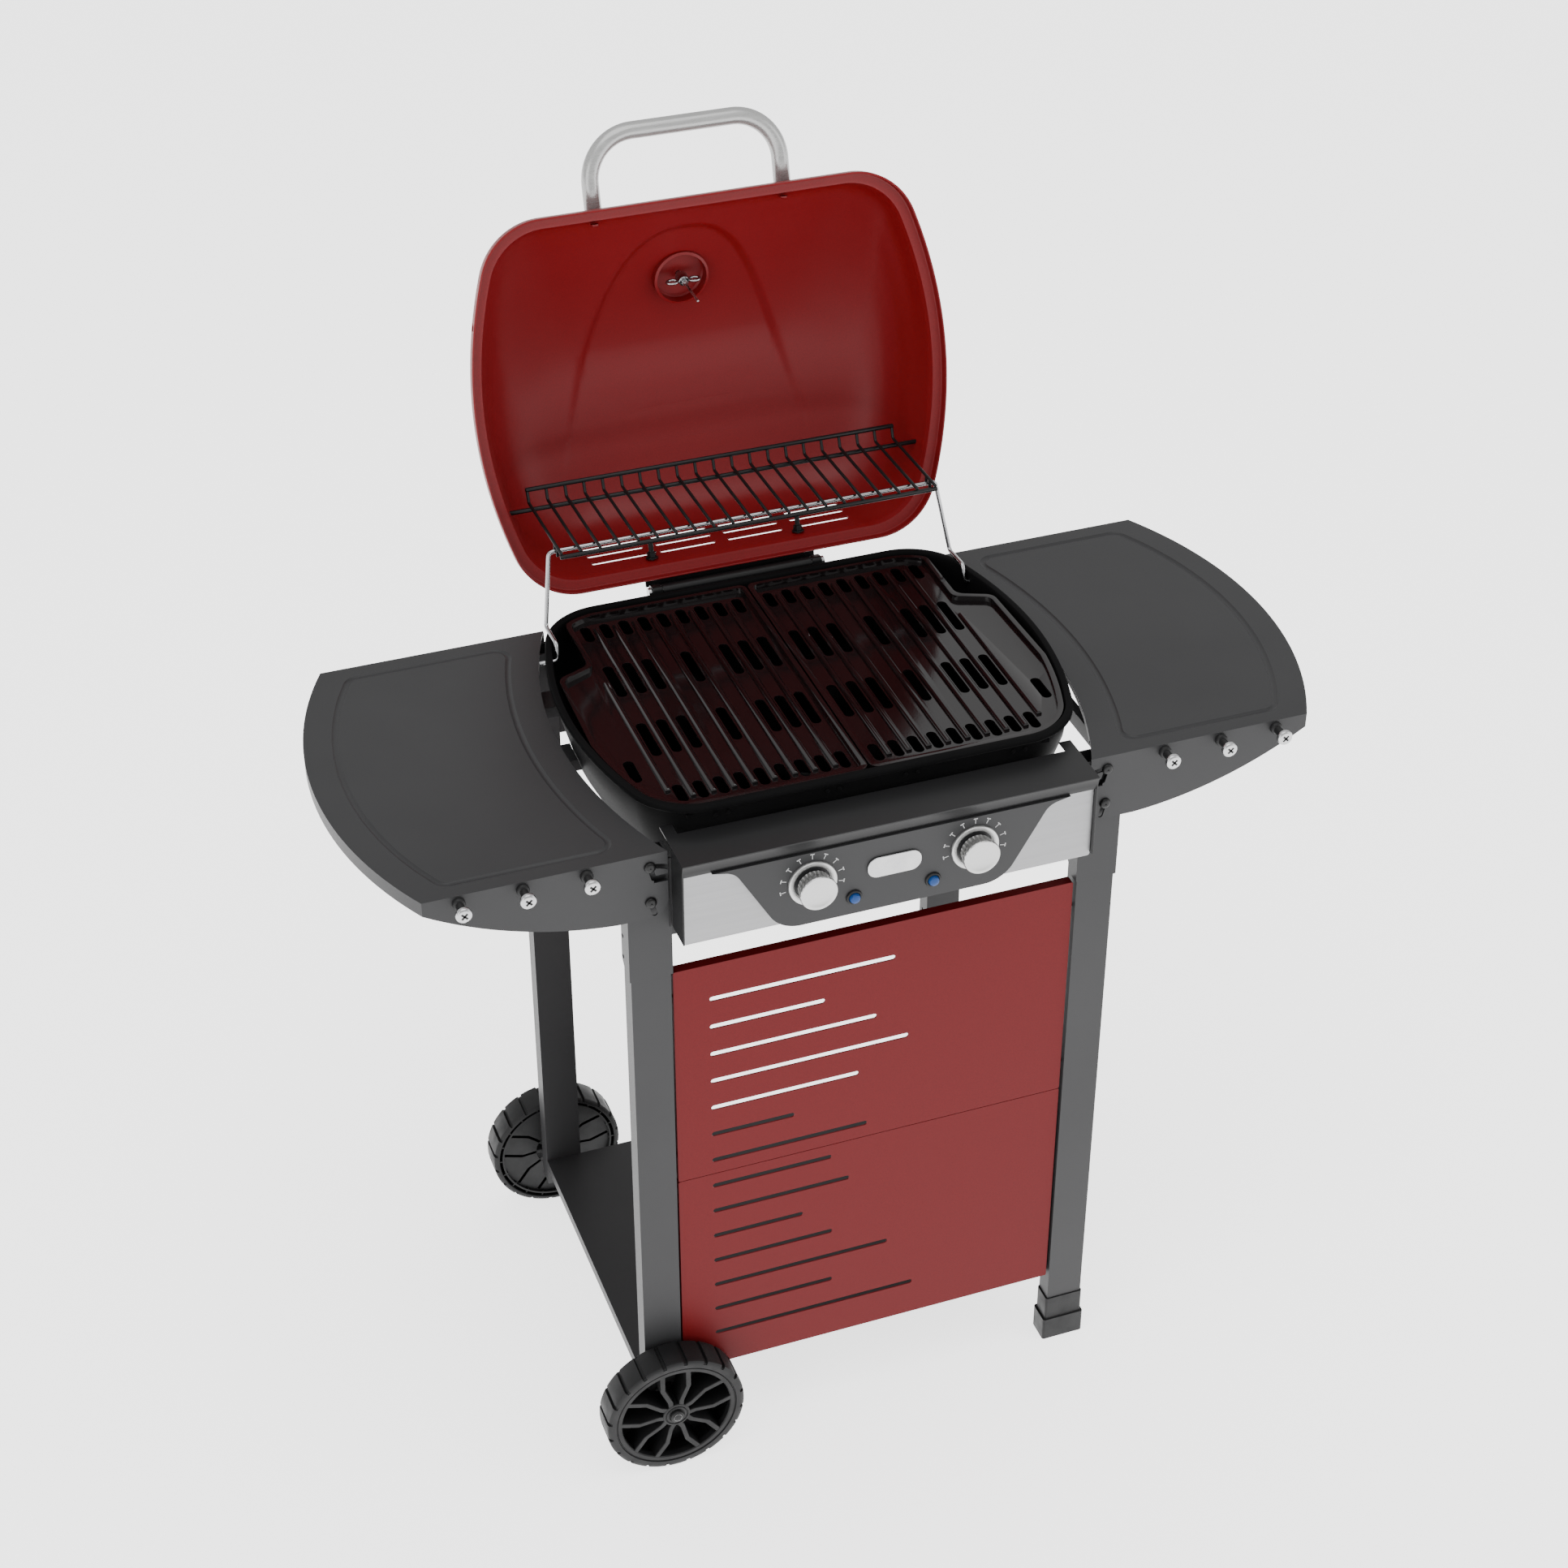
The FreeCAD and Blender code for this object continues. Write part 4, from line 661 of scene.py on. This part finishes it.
# ---- firebox ------------------------------------------------------------------------------
def tub_ring(z, inset, grow=0.0):
    """Outline of the firebox at a height, pulled in by an inset."""
    rows = [(915.0, -197, 221, 279, 72), (880.0, -193, 217, 275, 72), (840.0, -183, 207, 264, 70),
            (800.0, -166, 190, 244, 64), (782.0, -150, 174, 224, 56), (770.0, -128, 152, 198, 48),
            (764.0, -104, 128, 166, 40), (763.0, -60, 84, 110, 30)]
    for (za, *a), (zb, *b) in zip(rows, rows[1:]):
        if zb <= z <= za:
            w = (za - z) / (za - zb)
            f, k, s, c = [p + (q - p) * w for p, q in zip(a, b)]
            return bowed(z + grow, f + inset, k - inset, s - inset, max(c - inset, 6))
    raise ValueError(z)


outer_z = [763.0, 764.0, 766.5, 770.0, 775.0, 782.0, 790.0, 800.0, 812.0, 826.0, 840.0, 860.0, 880.0,
           900.0, 905.0]
rings = [tub_ring(z, 0) for z in outer_z]
for inset, z in ((-0.3, 905.8), (-2.0, 906.6), (-4.2, 907.0), (-5.0, 908.0), (-5.2, 910.0), (-5.0, 913.0),
                 (-4.2, 914.6), (-2.6, 915.0), (1.0, 915.0), (2.4, 914.6), (3.0, 913.4), (3.2, 911.6)):
    base = tub_ring(905.0, inset)
    rings.append([(x, y, z) for x, y, _ in base])
rings += [tub_ring(z, 3.2) for z in (900.0, 880.0, 860.0, 840.0, 820.0, 800.0, 790.0, 782.0, 775.0, 770.0)]
rings += [tub_ring(z, 3.2, 2.4) for z in (766.5, 764.0, 763.0)]
tub = piece("firebox_tub", skin(rings, cap_first=True, cap_last=True), "tub_black", "cart", ("firebox",),
            smooth=50)
cutters = []
for s in (-1, 1):
    cutters.append(drill(12.5, 60, (s * KNOB_X, -215, BURNER_Z), (0, 1, 0), 32))
cutters.append(drill(16, 20, (0, 12, 755), (0, 0, 1), 32))
for x in (-160, -120, 120, 160):
    cutters.append(drill(4, 45, (x, 185, 870), (0, 1, 0)))
for s in (-1, 1):
    cutters.append(drill(2.58, 45, (s * 245, BAIL_Y, BAIL_Z), (s, 0, 0)))
for s in (-1, 1):
    cutters.append(drill(4, 40, (s * KNOB_X + 17, -200, BURNER_Z + 4), (0, 1, 0)))
cut(tub, join(*cutters))
lugs, dots = [], []
for x in (-200, -60, 60, 200):
    lugs.append(cuboid(x - 9, x + 9, -193.5, -182, 898, 902.6))
    lugs.append(cuboid(x - 9, x + 9, 206, 217.0, 898, 902.6))
piece("firebox_lugs", join(*lugs), "tub_black", "cart", (), 0.8)
for x in (-178, -164, -52, -38, 38, 52, 164, 178):
    dots.append(pan_head(2.6, 1.2, (x, -196.6, 899), (0, -1, 0)))
piece("firebox_rivets", join(*dots), "tub_black", "cart", ())

paint("left_burner", "tub_black")
paint("right_burner", "tub_black")
paint("electrodes", "ceramic")
paint("gas_manifold", "cast")
for name in ("left_grate", "right_grate"):
    soften(name, "black_enamel", 0.9, 3, 50)


# ---- lid (drawn closed, then opened) ------------------------------------------------------
LID_POINTS = (90, 22, 34)
LID_ROWS = [(920.0, -195, 219, 276, 72), (949.0, -190.5, 213, 270, 74), (968.0, -170, 209, 264, 78),
            (990.0, -138, 204, 256, 84), (1012.0, -100, 196, 243, 88), (1031.0, -58, 183, 222, 84),
            (1045.0, -14, 162, 190, 66), (1053.0, 34, 132, 140, 40), (1055.5, 60, 106, 76, 16)]


def catmull(values, t):
    """Smooth value between rows, t counted in rows."""
    i = min(int(t), len(values) - 2)
    u = t - i
    p0, p1 = values[max(i - 1, 0)], values[i]
    p2, p3 = values[i + 1], values[min(i + 2, len(values) - 1)]
    return 0.5 * (2 * p1 + (p2 - p0) * u + (2 * p0 - 5 * p1 + 4 * p2 - p3) * u ** 2
                  + (3 * p1 - p0 - 3 * p2 + p3) * u ** 3)


def lid_ring(t, inset):
    z, f, k, s, c = [catmull([row[i] for row in LID_ROWS], t) for i in range(5)]
    return bowed(z, f + inset, k - inset, s - inset, max(c - inset, 4), *LID_POINTS)


def arch_height(x, y):
    """Pressed arch on the lid: a crescent-shaped step round a slightly raised middle."""
    foot, apex_y, foot_y = 160.0, -164.0, 131.0
    if abs(x) >= foot:
        return 0.0
    line = apex_y + (foot_y - apex_y) * (abs(x) / foot) ** 2.6
    along = (line - apex_y) / (foot_y - apex_y)
    slant = math.hypot(1, 2.6 * (foot_y - apex_y) / foot * (abs(x) / foot) ** 1.6)
    width = 3.4 + 5.0 * math.sin(math.pi * along ** 0.8)
    inside = max(0.0, min(1.0, (y - line) / slant / width))
    fade = max(0.0, min(1.0, (foot_y - y) / 150.0))
    return 6.0 * inside * fade


def lid_surface(inset, drop):
    rings = []
    steps = 110
    for i in range(steps + 1):
        t = (len(LID_ROWS) - 1) * i / steps
        ring = lid_ring(t, inset)
        rings.append([(x, y, z - drop + arch_height(x, y)) for x, y, z in ring])
    return rings


outside = lid_surface(0.0, 0.0)
inside = lid_surface(2.0, 2.0)
LIP_EDGE = (-195.0, 219.0, 276.0, 72.0)  # front, back, side and corner of the lid's lower edge


def lip_ring(grow, z):
    """The lid's lower edge, pushed out by an amount."""
    front, back, side, corner = LIP_EDGE
    return bowed(z, front - grow, back + grow, side + grow, corner + grow * 0.6, *LID_POINTS)


lip = []
for grow, z in ((10.0, 908.4), (10.6, 908.0), (11.6, 908.2), (12.0, 909.0), (12.0, 918.0), (11.4, 920.6),
                (10.0, 921.8), (8.0, 922.0), (2.0, 922.0), (0.6, 922.6)):
    lip.append(lip_ring(grow, z))
lip_in = []
for grow, z in ((1.6, 920.0), (8.4, 920.0), (9.6, 919.2), (10.0, 917.6)):
    lip_in.append(lip_ring(grow, z))
shell_rings = lip + outside[5:]
inner_rings = lip_in[::-1] + [bowed(920.6, -193.4, 217.4, 274.4, 70.5, *LID_POINTS)] + inside[5:]
outer_mesh = skin(shell_rings, cap_last=True)
inner_mesh = skin(inner_rings, cap_last=True)
bridge = skin([lip[0], lip_in[-1]])
lid = piece("lid_enamel", opened(join(outer_mesh, inner_mesh, bridge)), "lid_red", "lid", ("lid_shell",),
            smooth=50)

DIAL_Y, DIAL_Z, DIAL_TILT = -99.0, 1011.0, 18.0


def dial_point(distance):
    a = math.radians(DIAL_TILT)
    return Vector((0, DIAL_Y - distance * math.sin(a), DIAL_Z + distance * math.cos(a)))


dial_axis = (dial_point(1) - dial_point(0)).normalized()
cutters = []
for z in (951.0, 969.5, 988.0):
    for x in (-127.5, -42.5, 42.5, 127.5):
        corners = [(x - 35, z - 3.5), (x + 35, z - 3.5), (x + 35, z + 3.5), (x - 35, z + 3.5)]
        cutters.append(prism(rounded(corners, 3.48, 8), "y", 180, 235))
for s in (-1, 1):
    cutters.append(drill(2.84, 60, (s * 225, 130.5, 944.3), (s, 0, 0)))
    cutters.append(cuboid(s * 283 - 8, s * 283 + 8, -113, -93, 911, 916.5))
cutters.append(lathe([(0, -26), (30.6, -26), (30.6, 40), (0, 40)], dial_point(0), dial_axis, 64))
cut(lid, opened(join(*cutters)))
dish = lathe([(30.4, -7), (33.4, -6), (33.4, 6.0), (32.2, 8.6), (30.0, 9.2), (3.4, 9.2), (3.4, 7.2),
              (28.4, 7.2), (30.4, 5.2), (30.4, -7)], dial_point(0), dial_axis, 64)
piece("lid_dial_dish", opened(dish), "lid_red", "lid", (), smooth=40)

# thermometer: case, face and marks outside, probe and wing nut inside
case = lathe([(3.1, 9.5), (26, 9.5), (30.5, 10.5), (31.0, 14.0), (30.5, 18.6), (29.0, 20.2), (27.0, 20.4),
              (26.2, 19.4), (26.0, 18.0), (0, 18.0)], dial_point(0), dial_axis, 72)
piece("thermometer_case", opened(case), "handle", "lid", ("thermometer",))
face = lathe([(0, 18.1), (25.9, 18.1), (25.9, 18.4), (0, 18.4)], dial_point(0), dial_axis, 64)
piece("thermometer_face", opened(face), "dial", "lid")
marks = []
for k in range(21):
    w = math.radians(-45 + 13.5 * k)
    long = 5.5 if k % 5 == 0 else 3.2
    tick = cuboid(22.6 - long, 22.6, -0.4, 0.4, 18.4, 18.6)
    marks.append(turned(tick, (0, 0, 0), "Z", math.degrees(w)))
pointer = prism([(-4, -0.9), (19, -0.25), (19, 0.25), (-4, 0.9)], "z", 18.7, 19.0)
marks.append(turned(pointer, (0, 0, 0), "Z", 200))
tilt = turned(join(*marks), (0, 0, 0), "X", DIAL_TILT)
piece("thermometer_marks", opened(moved(tilt, 0, DIAL_Y, DIAL_Z)), "black_plastic", "lid")
probe = lathe([(0, -66), (1.3, -65.4), (1.6, -64), (1.6, -22), (3.0, -20), (3.0, 9.4), (0, 9.4)],
              dial_point(0), dial_axis, 24)
piece("thermometer_probe", opened(probe), "screw", "lid", ())
loops = []
for s in (-1, 1):
    turns = [math.radians(w) for w in range(0, 360, 18)]
    ring = [Vector((s * (13.5 + 6.8 * math.cos(w)), 0, 3.0 + 4.6 * math.sin(w))) for w in turns]
    loops.append(sweep(ring, 1.7, n=12, closed=True))
boss = lathe([(3.1, -6), (7.4, -6), (7.8, -4), (6.4, 5.4), (5.6, 6), (3.1, 6), (3.1, -6)],
             (0, 0, 0), (0, 0, 1), 28)
nut = turned(join(boss, *loops), (0, 0, 0), "X", 180 + DIAL_TILT)
nut = opened(moved(nut, *dial_point(-9)))
piece("wing_nut_soft", nut, "chrome", "lid", ("wing_nut",), 0.7, 3)

# handle: bent tube, end plates and the screws inside the lid
HX, HY, HZ = 114.0, -284.0, 945.0
bar = sweep([(-HX, -191.5, HZ), (-HX, HY, HZ), (HX, HY, HZ), (HX, -191.5, HZ)], 10.0, 54.0, 32, 18)
collars = [lathe([(10.0, 0), (14.5, 0), (15.0, 1.2), (14.4, 3.2), (11.6, 4.6), (10.0, 5.0)],
                 (s * HX, -192.6, HZ), (0, -1, 0), 40) for s in (-1, 1)]
piece("handle_bar", opened(bar), "handle", "lid", ("handle",), smooth=50)
piece("handle_collars", opened(join(*collars)), "handle", "lid", ())
BOLT_X, BOLT_Z = 92.0, 936.0
bolts, inside_heads = [], []
for s in (-1, 1):
    inside_heads.append(pan_head(5.0, 3.4, (s * HX, -185.6, HZ), (0, 1, 0)))
    x = s * BOLT_X
    hexagon = [(x + 5.8 * math.cos(math.radians(60 * k)), BOLT_Z + 5.8 * math.sin(math.radians(60 * k)))
               for k in range(6)]
    bolts.append(prism(hexagon, "y", 204.4, 210.4))
    bolts.append(lathe([(0, 0), (3, 0.5), (3, 32), (0, 32)], (x, 191, BOLT_Z), (0, 1, 0), 24))
    washer = [(3, 210.4), (7.5, 210.4), (7.5, 211.8), (3, 211.8)]
    bolts.append(lathe(washer, (x, 0, BOLT_Z), (0, 1, 0), 28))
    bolts.append(pan_head(6, 4, (x, 222, BOLT_Z), (0, 1, 0)))
piece("lid_bolts", opened(join(*bolts)), "black_steel", "lid", ("lid_screws",), 0.4)
piece("handle_screw_heads", opened(join(*inside_heads)), "lid_red", "lid", ())

# ---- warming rack and bail (drawn open) ---------------------------------------------------
RACK_HALF = 228.0
BAR_Y, BAR_Z = 209.1, 1006.0  # the bail's bar, under the rack
rods = []
for k in range(21):
    x = -RACK_HALF + 2 * RACK_HALF * k / 20
    rods.append(sweep([(x, 186.5, 1013.7), (x, 320.0, 1008.7), (x, 326.0, 1022.2)], 1.9, 4.0, 10, 5))
for (y, z), half in (((186.5, 1010.0), 230.0), ((326.0, 1023.0), 230.0), ((311.4, 1004.5), 262.0)):
    rods.append(sweep([(-half, y, z), (0, y, z), (half, y, z)], 2.75, 0, 14))
for s in (-1, 1):
    for d in (-5.4, 5.4):
        post = [(s * RACK_HALF, BAR_Y + d, z) for z in (1001.5, 1007, 1013)]
        rods.append(sweep(post, 1.9, 0, 10))
piece("rack_wires", join(*rods), "black_steel", "rack", ("warming_rack",), smooth=60)
half = [(-272, BAIL_Y, BAIL_Z), (-250, BAIL_Y, BAIL_Z), (-250, 149, 923), (-250, 189, 921),
        (-237, BAR_Y, BAR_Z)]
path = half + [(-x, y, z) for x, y, z in reversed(half)]
piece("bail_wire", sweep(path, 2.5, 6.0, 14, 6), "chrome", "bail", ("rack_bail",), smooth=60)

# ---- control panel ------------------------------------------------------------------------
soften("control_panel", "plate", 0.5)
soften("panel_fascia", "fascia_grey", 0.9, 3)
# the panel cover takes the darker copy of the grey paint, which is painted shade
soften("panel_cover", "cover_painted_shade", 1.1, 3)
badge = prism(rounded([(-31, 822), (31, 822), (31, 848), (-31, 848)], 12.0, 8), "y", -264.0, -261.5)
piece("maker_plate", badge, "screw", "cart", ("badge",), 0.8, 3)
paint("igniters", "black_plastic")
ticks = []
for s, side in ((-1, "left"), (1, "right")):
    x = s * KNOB_X
    knob = lathe([(0, -16.6), (6, -16.8), (12.0, -17.4), (17.0, -18.6), (19.2, -19.6), (20.4, -19.4),
                  (21.2, -18.2), (21.2, -15.4), (20.6, -12.4), (19.6, -10.4), (18.9, -8.8), (18.7, -4.0),
                  (18.3, -2.2), (7.5, -2.0), (7.5, 5.0), (3.5, 5.0)],
                 (x, -264.0, KNOB_Z), (0, 1, 0), 144, (24, 1.5, -16.0, -3.0))
    piece(side + "_knob_cap", knob, "knob", side + "_knob", (side + "_knob",), smooth=40)
    paint(side + "_valve_stem", "screw")
    bezel = lathe([(20.0, 0), (27.7, 0), (27.7, -2.4), (26.9, -3.4), (24.6, -3.6), (22.4, -2.8),
                   (20.4, -1.0), (20.0, 0)], (x, FASCIA_Y, KNOB_Z), (0, 1, 0), 96)
    bezel_nodes = ("knob_bezels",) if s < 0 else ()
    piece(side + "_knob_ring", bezel, "knob", "cart", bezel_nodes, smooth=40)
    for k in range(9):
        w = math.radians(-100 + 25 * k)
        ink_front, ink_back = FASCIA_Y - 0.15, FASCIA_Y + 0.1
        stroke = cuboid(x - 0.45, x + 0.45, ink_front, ink_back, KNOB_Z + 30.5, KNOB_Z + 36.5)
        head = cuboid(x - 2.3, x + 2.3, ink_front, ink_back, KNOB_Z + 36.0, KNOB_Z + 37.2)
        ticks.append(turned(join(stroke, head), (x, 0, KNOB_Z), "Y", math.degrees(w)))
    b = s * BUTTON_X
    button = lathe([(0, -8.2), (3.4, -8.0), (5.2, -7.2), (6.0, -5.8), (6.2, -4.0), (6.2, 4.0), (3.0, 4.4),
                    (3.0, 10.0), (0, 10.0)], (b, -260.0, BUTTON_Z), (0, 1, 0), 40)
    igniter = (side + "_igniter_button",)
    piece(side + "_button_cap", button, "blue", side + "_button", igniter)
    ring = lathe([(6.5, 1.5), (6.5, -2.6), (7.2, -3.0), (8.6, -2.6), (9.2, -1.6), (9.2, 0.0), (6.5, 0.0)],
                 (b, -261.4, BUTTON_Z), (0, 1, 0), 48)
    piece(side + "_button_ring", ring, "black_plastic", "cart", ())
piece("dial_ticks", join(*ticks), "ink", "cart")

# ---- side shelves -------------------------------------------------------------------------
def circle_through(a, b, c):
    """Centre and radius of the circle through three 2-D points."""
    ax, ay, bx, by, cx, cy = *a, *b, *c
    d = 2 * (ax * (by - cy) + bx * (cy - ay) + cx * (ay - by))
    aa, bb, cc = ax ** 2 + ay ** 2, bx ** 2 + by ** 2, cx ** 2 + cy ** 2
    ux = (aa * (by - cy) + bb * (cy - ay) + cc * (ay - by)) / d
    uy = (aa * (cx - bx) + bb * (ax - cx) + cc * (bx - ax)) / d
    return ux, uy, math.hypot(ax - ux, ay - uy)


def groove_path():
    """Closed D-shaped line that runs inside the edges of the right shelf."""
    inset, front, back = 35.0, -207.0, 206.5
    ix, _, ir = circle_through((243, SKIRT_Y), (292, 0), (243, -SKIRT_Y))
    ox, _, orad = circle_through((506.5, SKIRT_Y), (566, 0), (506.5, -SKIRT_Y))
    ir += inset
    orad -= inset
    rows = [front + (back - front) * k / 24 for k in range(25)]
    inner = [(ix + math.sqrt(ir ** 2 - y ** 2), y) for y in rows]
    outer = [(ox + math.sqrt(orad ** 2 - y ** 2), y) for y in reversed(rows)]
    corners = inner + outer
    radii = [0] * len(corners)
    for i in (0, 24, 25, 49):
        radii[i] = 16
    keep = [(p, r) for i, (p, r) in enumerate(zip(corners, radii))
            if r or min(math.dist(p, corners[j]) for j in (0, 24, 25, 49)) > 26]
    return rounded([p for p, _ in keep], [r for _, r in keep], 8)


HOOK_X, HOOK_Z = (331.5, 400.0, 468.0), 881.0
groove = [(x, y, 893.6) for x, y in groove_path()]
groove_cutter = sweep(groove, 5.1, 0, 32, closed=True)
for side, s in (("left", -1), ("right", 1)):
    obj = soften(side + "_shelf", "dark_grey", 1.5, 5)
    cut(obj, groove_cutter if s > 0 else mirrored(groove_cutter, 0), 24)
    stems, knobs, marks = [], [], []
    for x in HOOK_X:
        x *= s
        root = (x, SKIRT_Y, HOOK_Z)
        stems.append(lathe([(0, 6.0), (6.0, 5.6), (6.0, 2.0), (3.0, 2.0), (3.0, -0.2), (7.0, 0),
                            (7.0, -3.6), (6.2, -4.8), (4.6, -5.6), (4.6, -19.0)], root, (0, 1, 0), 32))
        knobs.append(lathe([(4.0, -18.6), (8.0, -18.9), (8.8, -19.6), (9.0, -21.0), (8.8, -23.2),
                            (8.0, -24.5), (6.4, -25.1), (0, -25.3)], root, (0, 1, 0), 40))
        # dark cross on each hook head: painted shade for its cross recess, not a cut
        marks.append(cross(4.4, (x, SKIRT_Y - 25.25, HOOK_Z), (0, -1, 0)))
    shelf = side + "_shelf"
    hooks = (side + "_tool_hooks",)
    piece(side + "_hook_stems", join(*stems), "black_plastic", shelf, hooks)
    piece(side + "_hook_heads", join(*knobs), "screw", shelf, (), smooth=50)
    piece(side + "_hook_recess_shades", join(*marks), "black_plastic", shelf)
    soften(side + "_pivot_bushes", "black_plastic", 0.5)
paint("hinge_pin", "screw")

# ---- studio -------------------------------------------------------------------------------
floor_data = bpy.data.meshes.new("floor")
floor_data.from_pydata([(-30, -30, 0), (30, -30, 0), (30, 30, 0), (-30, 30, 0)], [], [[0, 1, 2, 3]])
floor = linked("floor", floor_data)
ground = Shader("floor_white", 0.9, spec=0.1)
ground.bsdf.inputs["Base Color"].default_value = (0.90, 0.90, 0.90, 1)
ground.bsdf.inputs["Emission Color"].default_value = (1, 1, 1, 1)
ground.bsdf.inputs["Emission Strength"].default_value = 2.1
floor_data.materials.append(ground.mat)

world = bpy.data.worlds.new("studio")
bpy.context.scene.world = world
world.use_nodes = True
world.node_tree.nodes["Background"].inputs["Color"].default_value = (1, 1, 1, 1)
world.node_tree.nodes["Background"].inputs["Strength"].default_value = 1.0


def softbox(name, location, target, size, power):
    light = bpy.data.lights.new(name, "AREA")
    light.shape = "RECTANGLE"
    light.size, light.size_y = size
    light.energy = power
    obj = linked(name, light)
    obj.location = location
    obj.rotation_euler = (Vector(target) - Vector(location)).to_track_quat("-Z", "Y").to_euler()


softbox("top_light", (-0.3, -0.6, 4.2), (0, 0, 0.8), (3.2, 2.6), 55)
softbox("left_light", (-3.6, -2.2, 2.2), (0, 0, 0.9), (2.4, 2.4), 40)
softbox("right_light", (3.4, -2.0, 2.0), (0, 0, 0.9), (2.0, 2.4), 26)
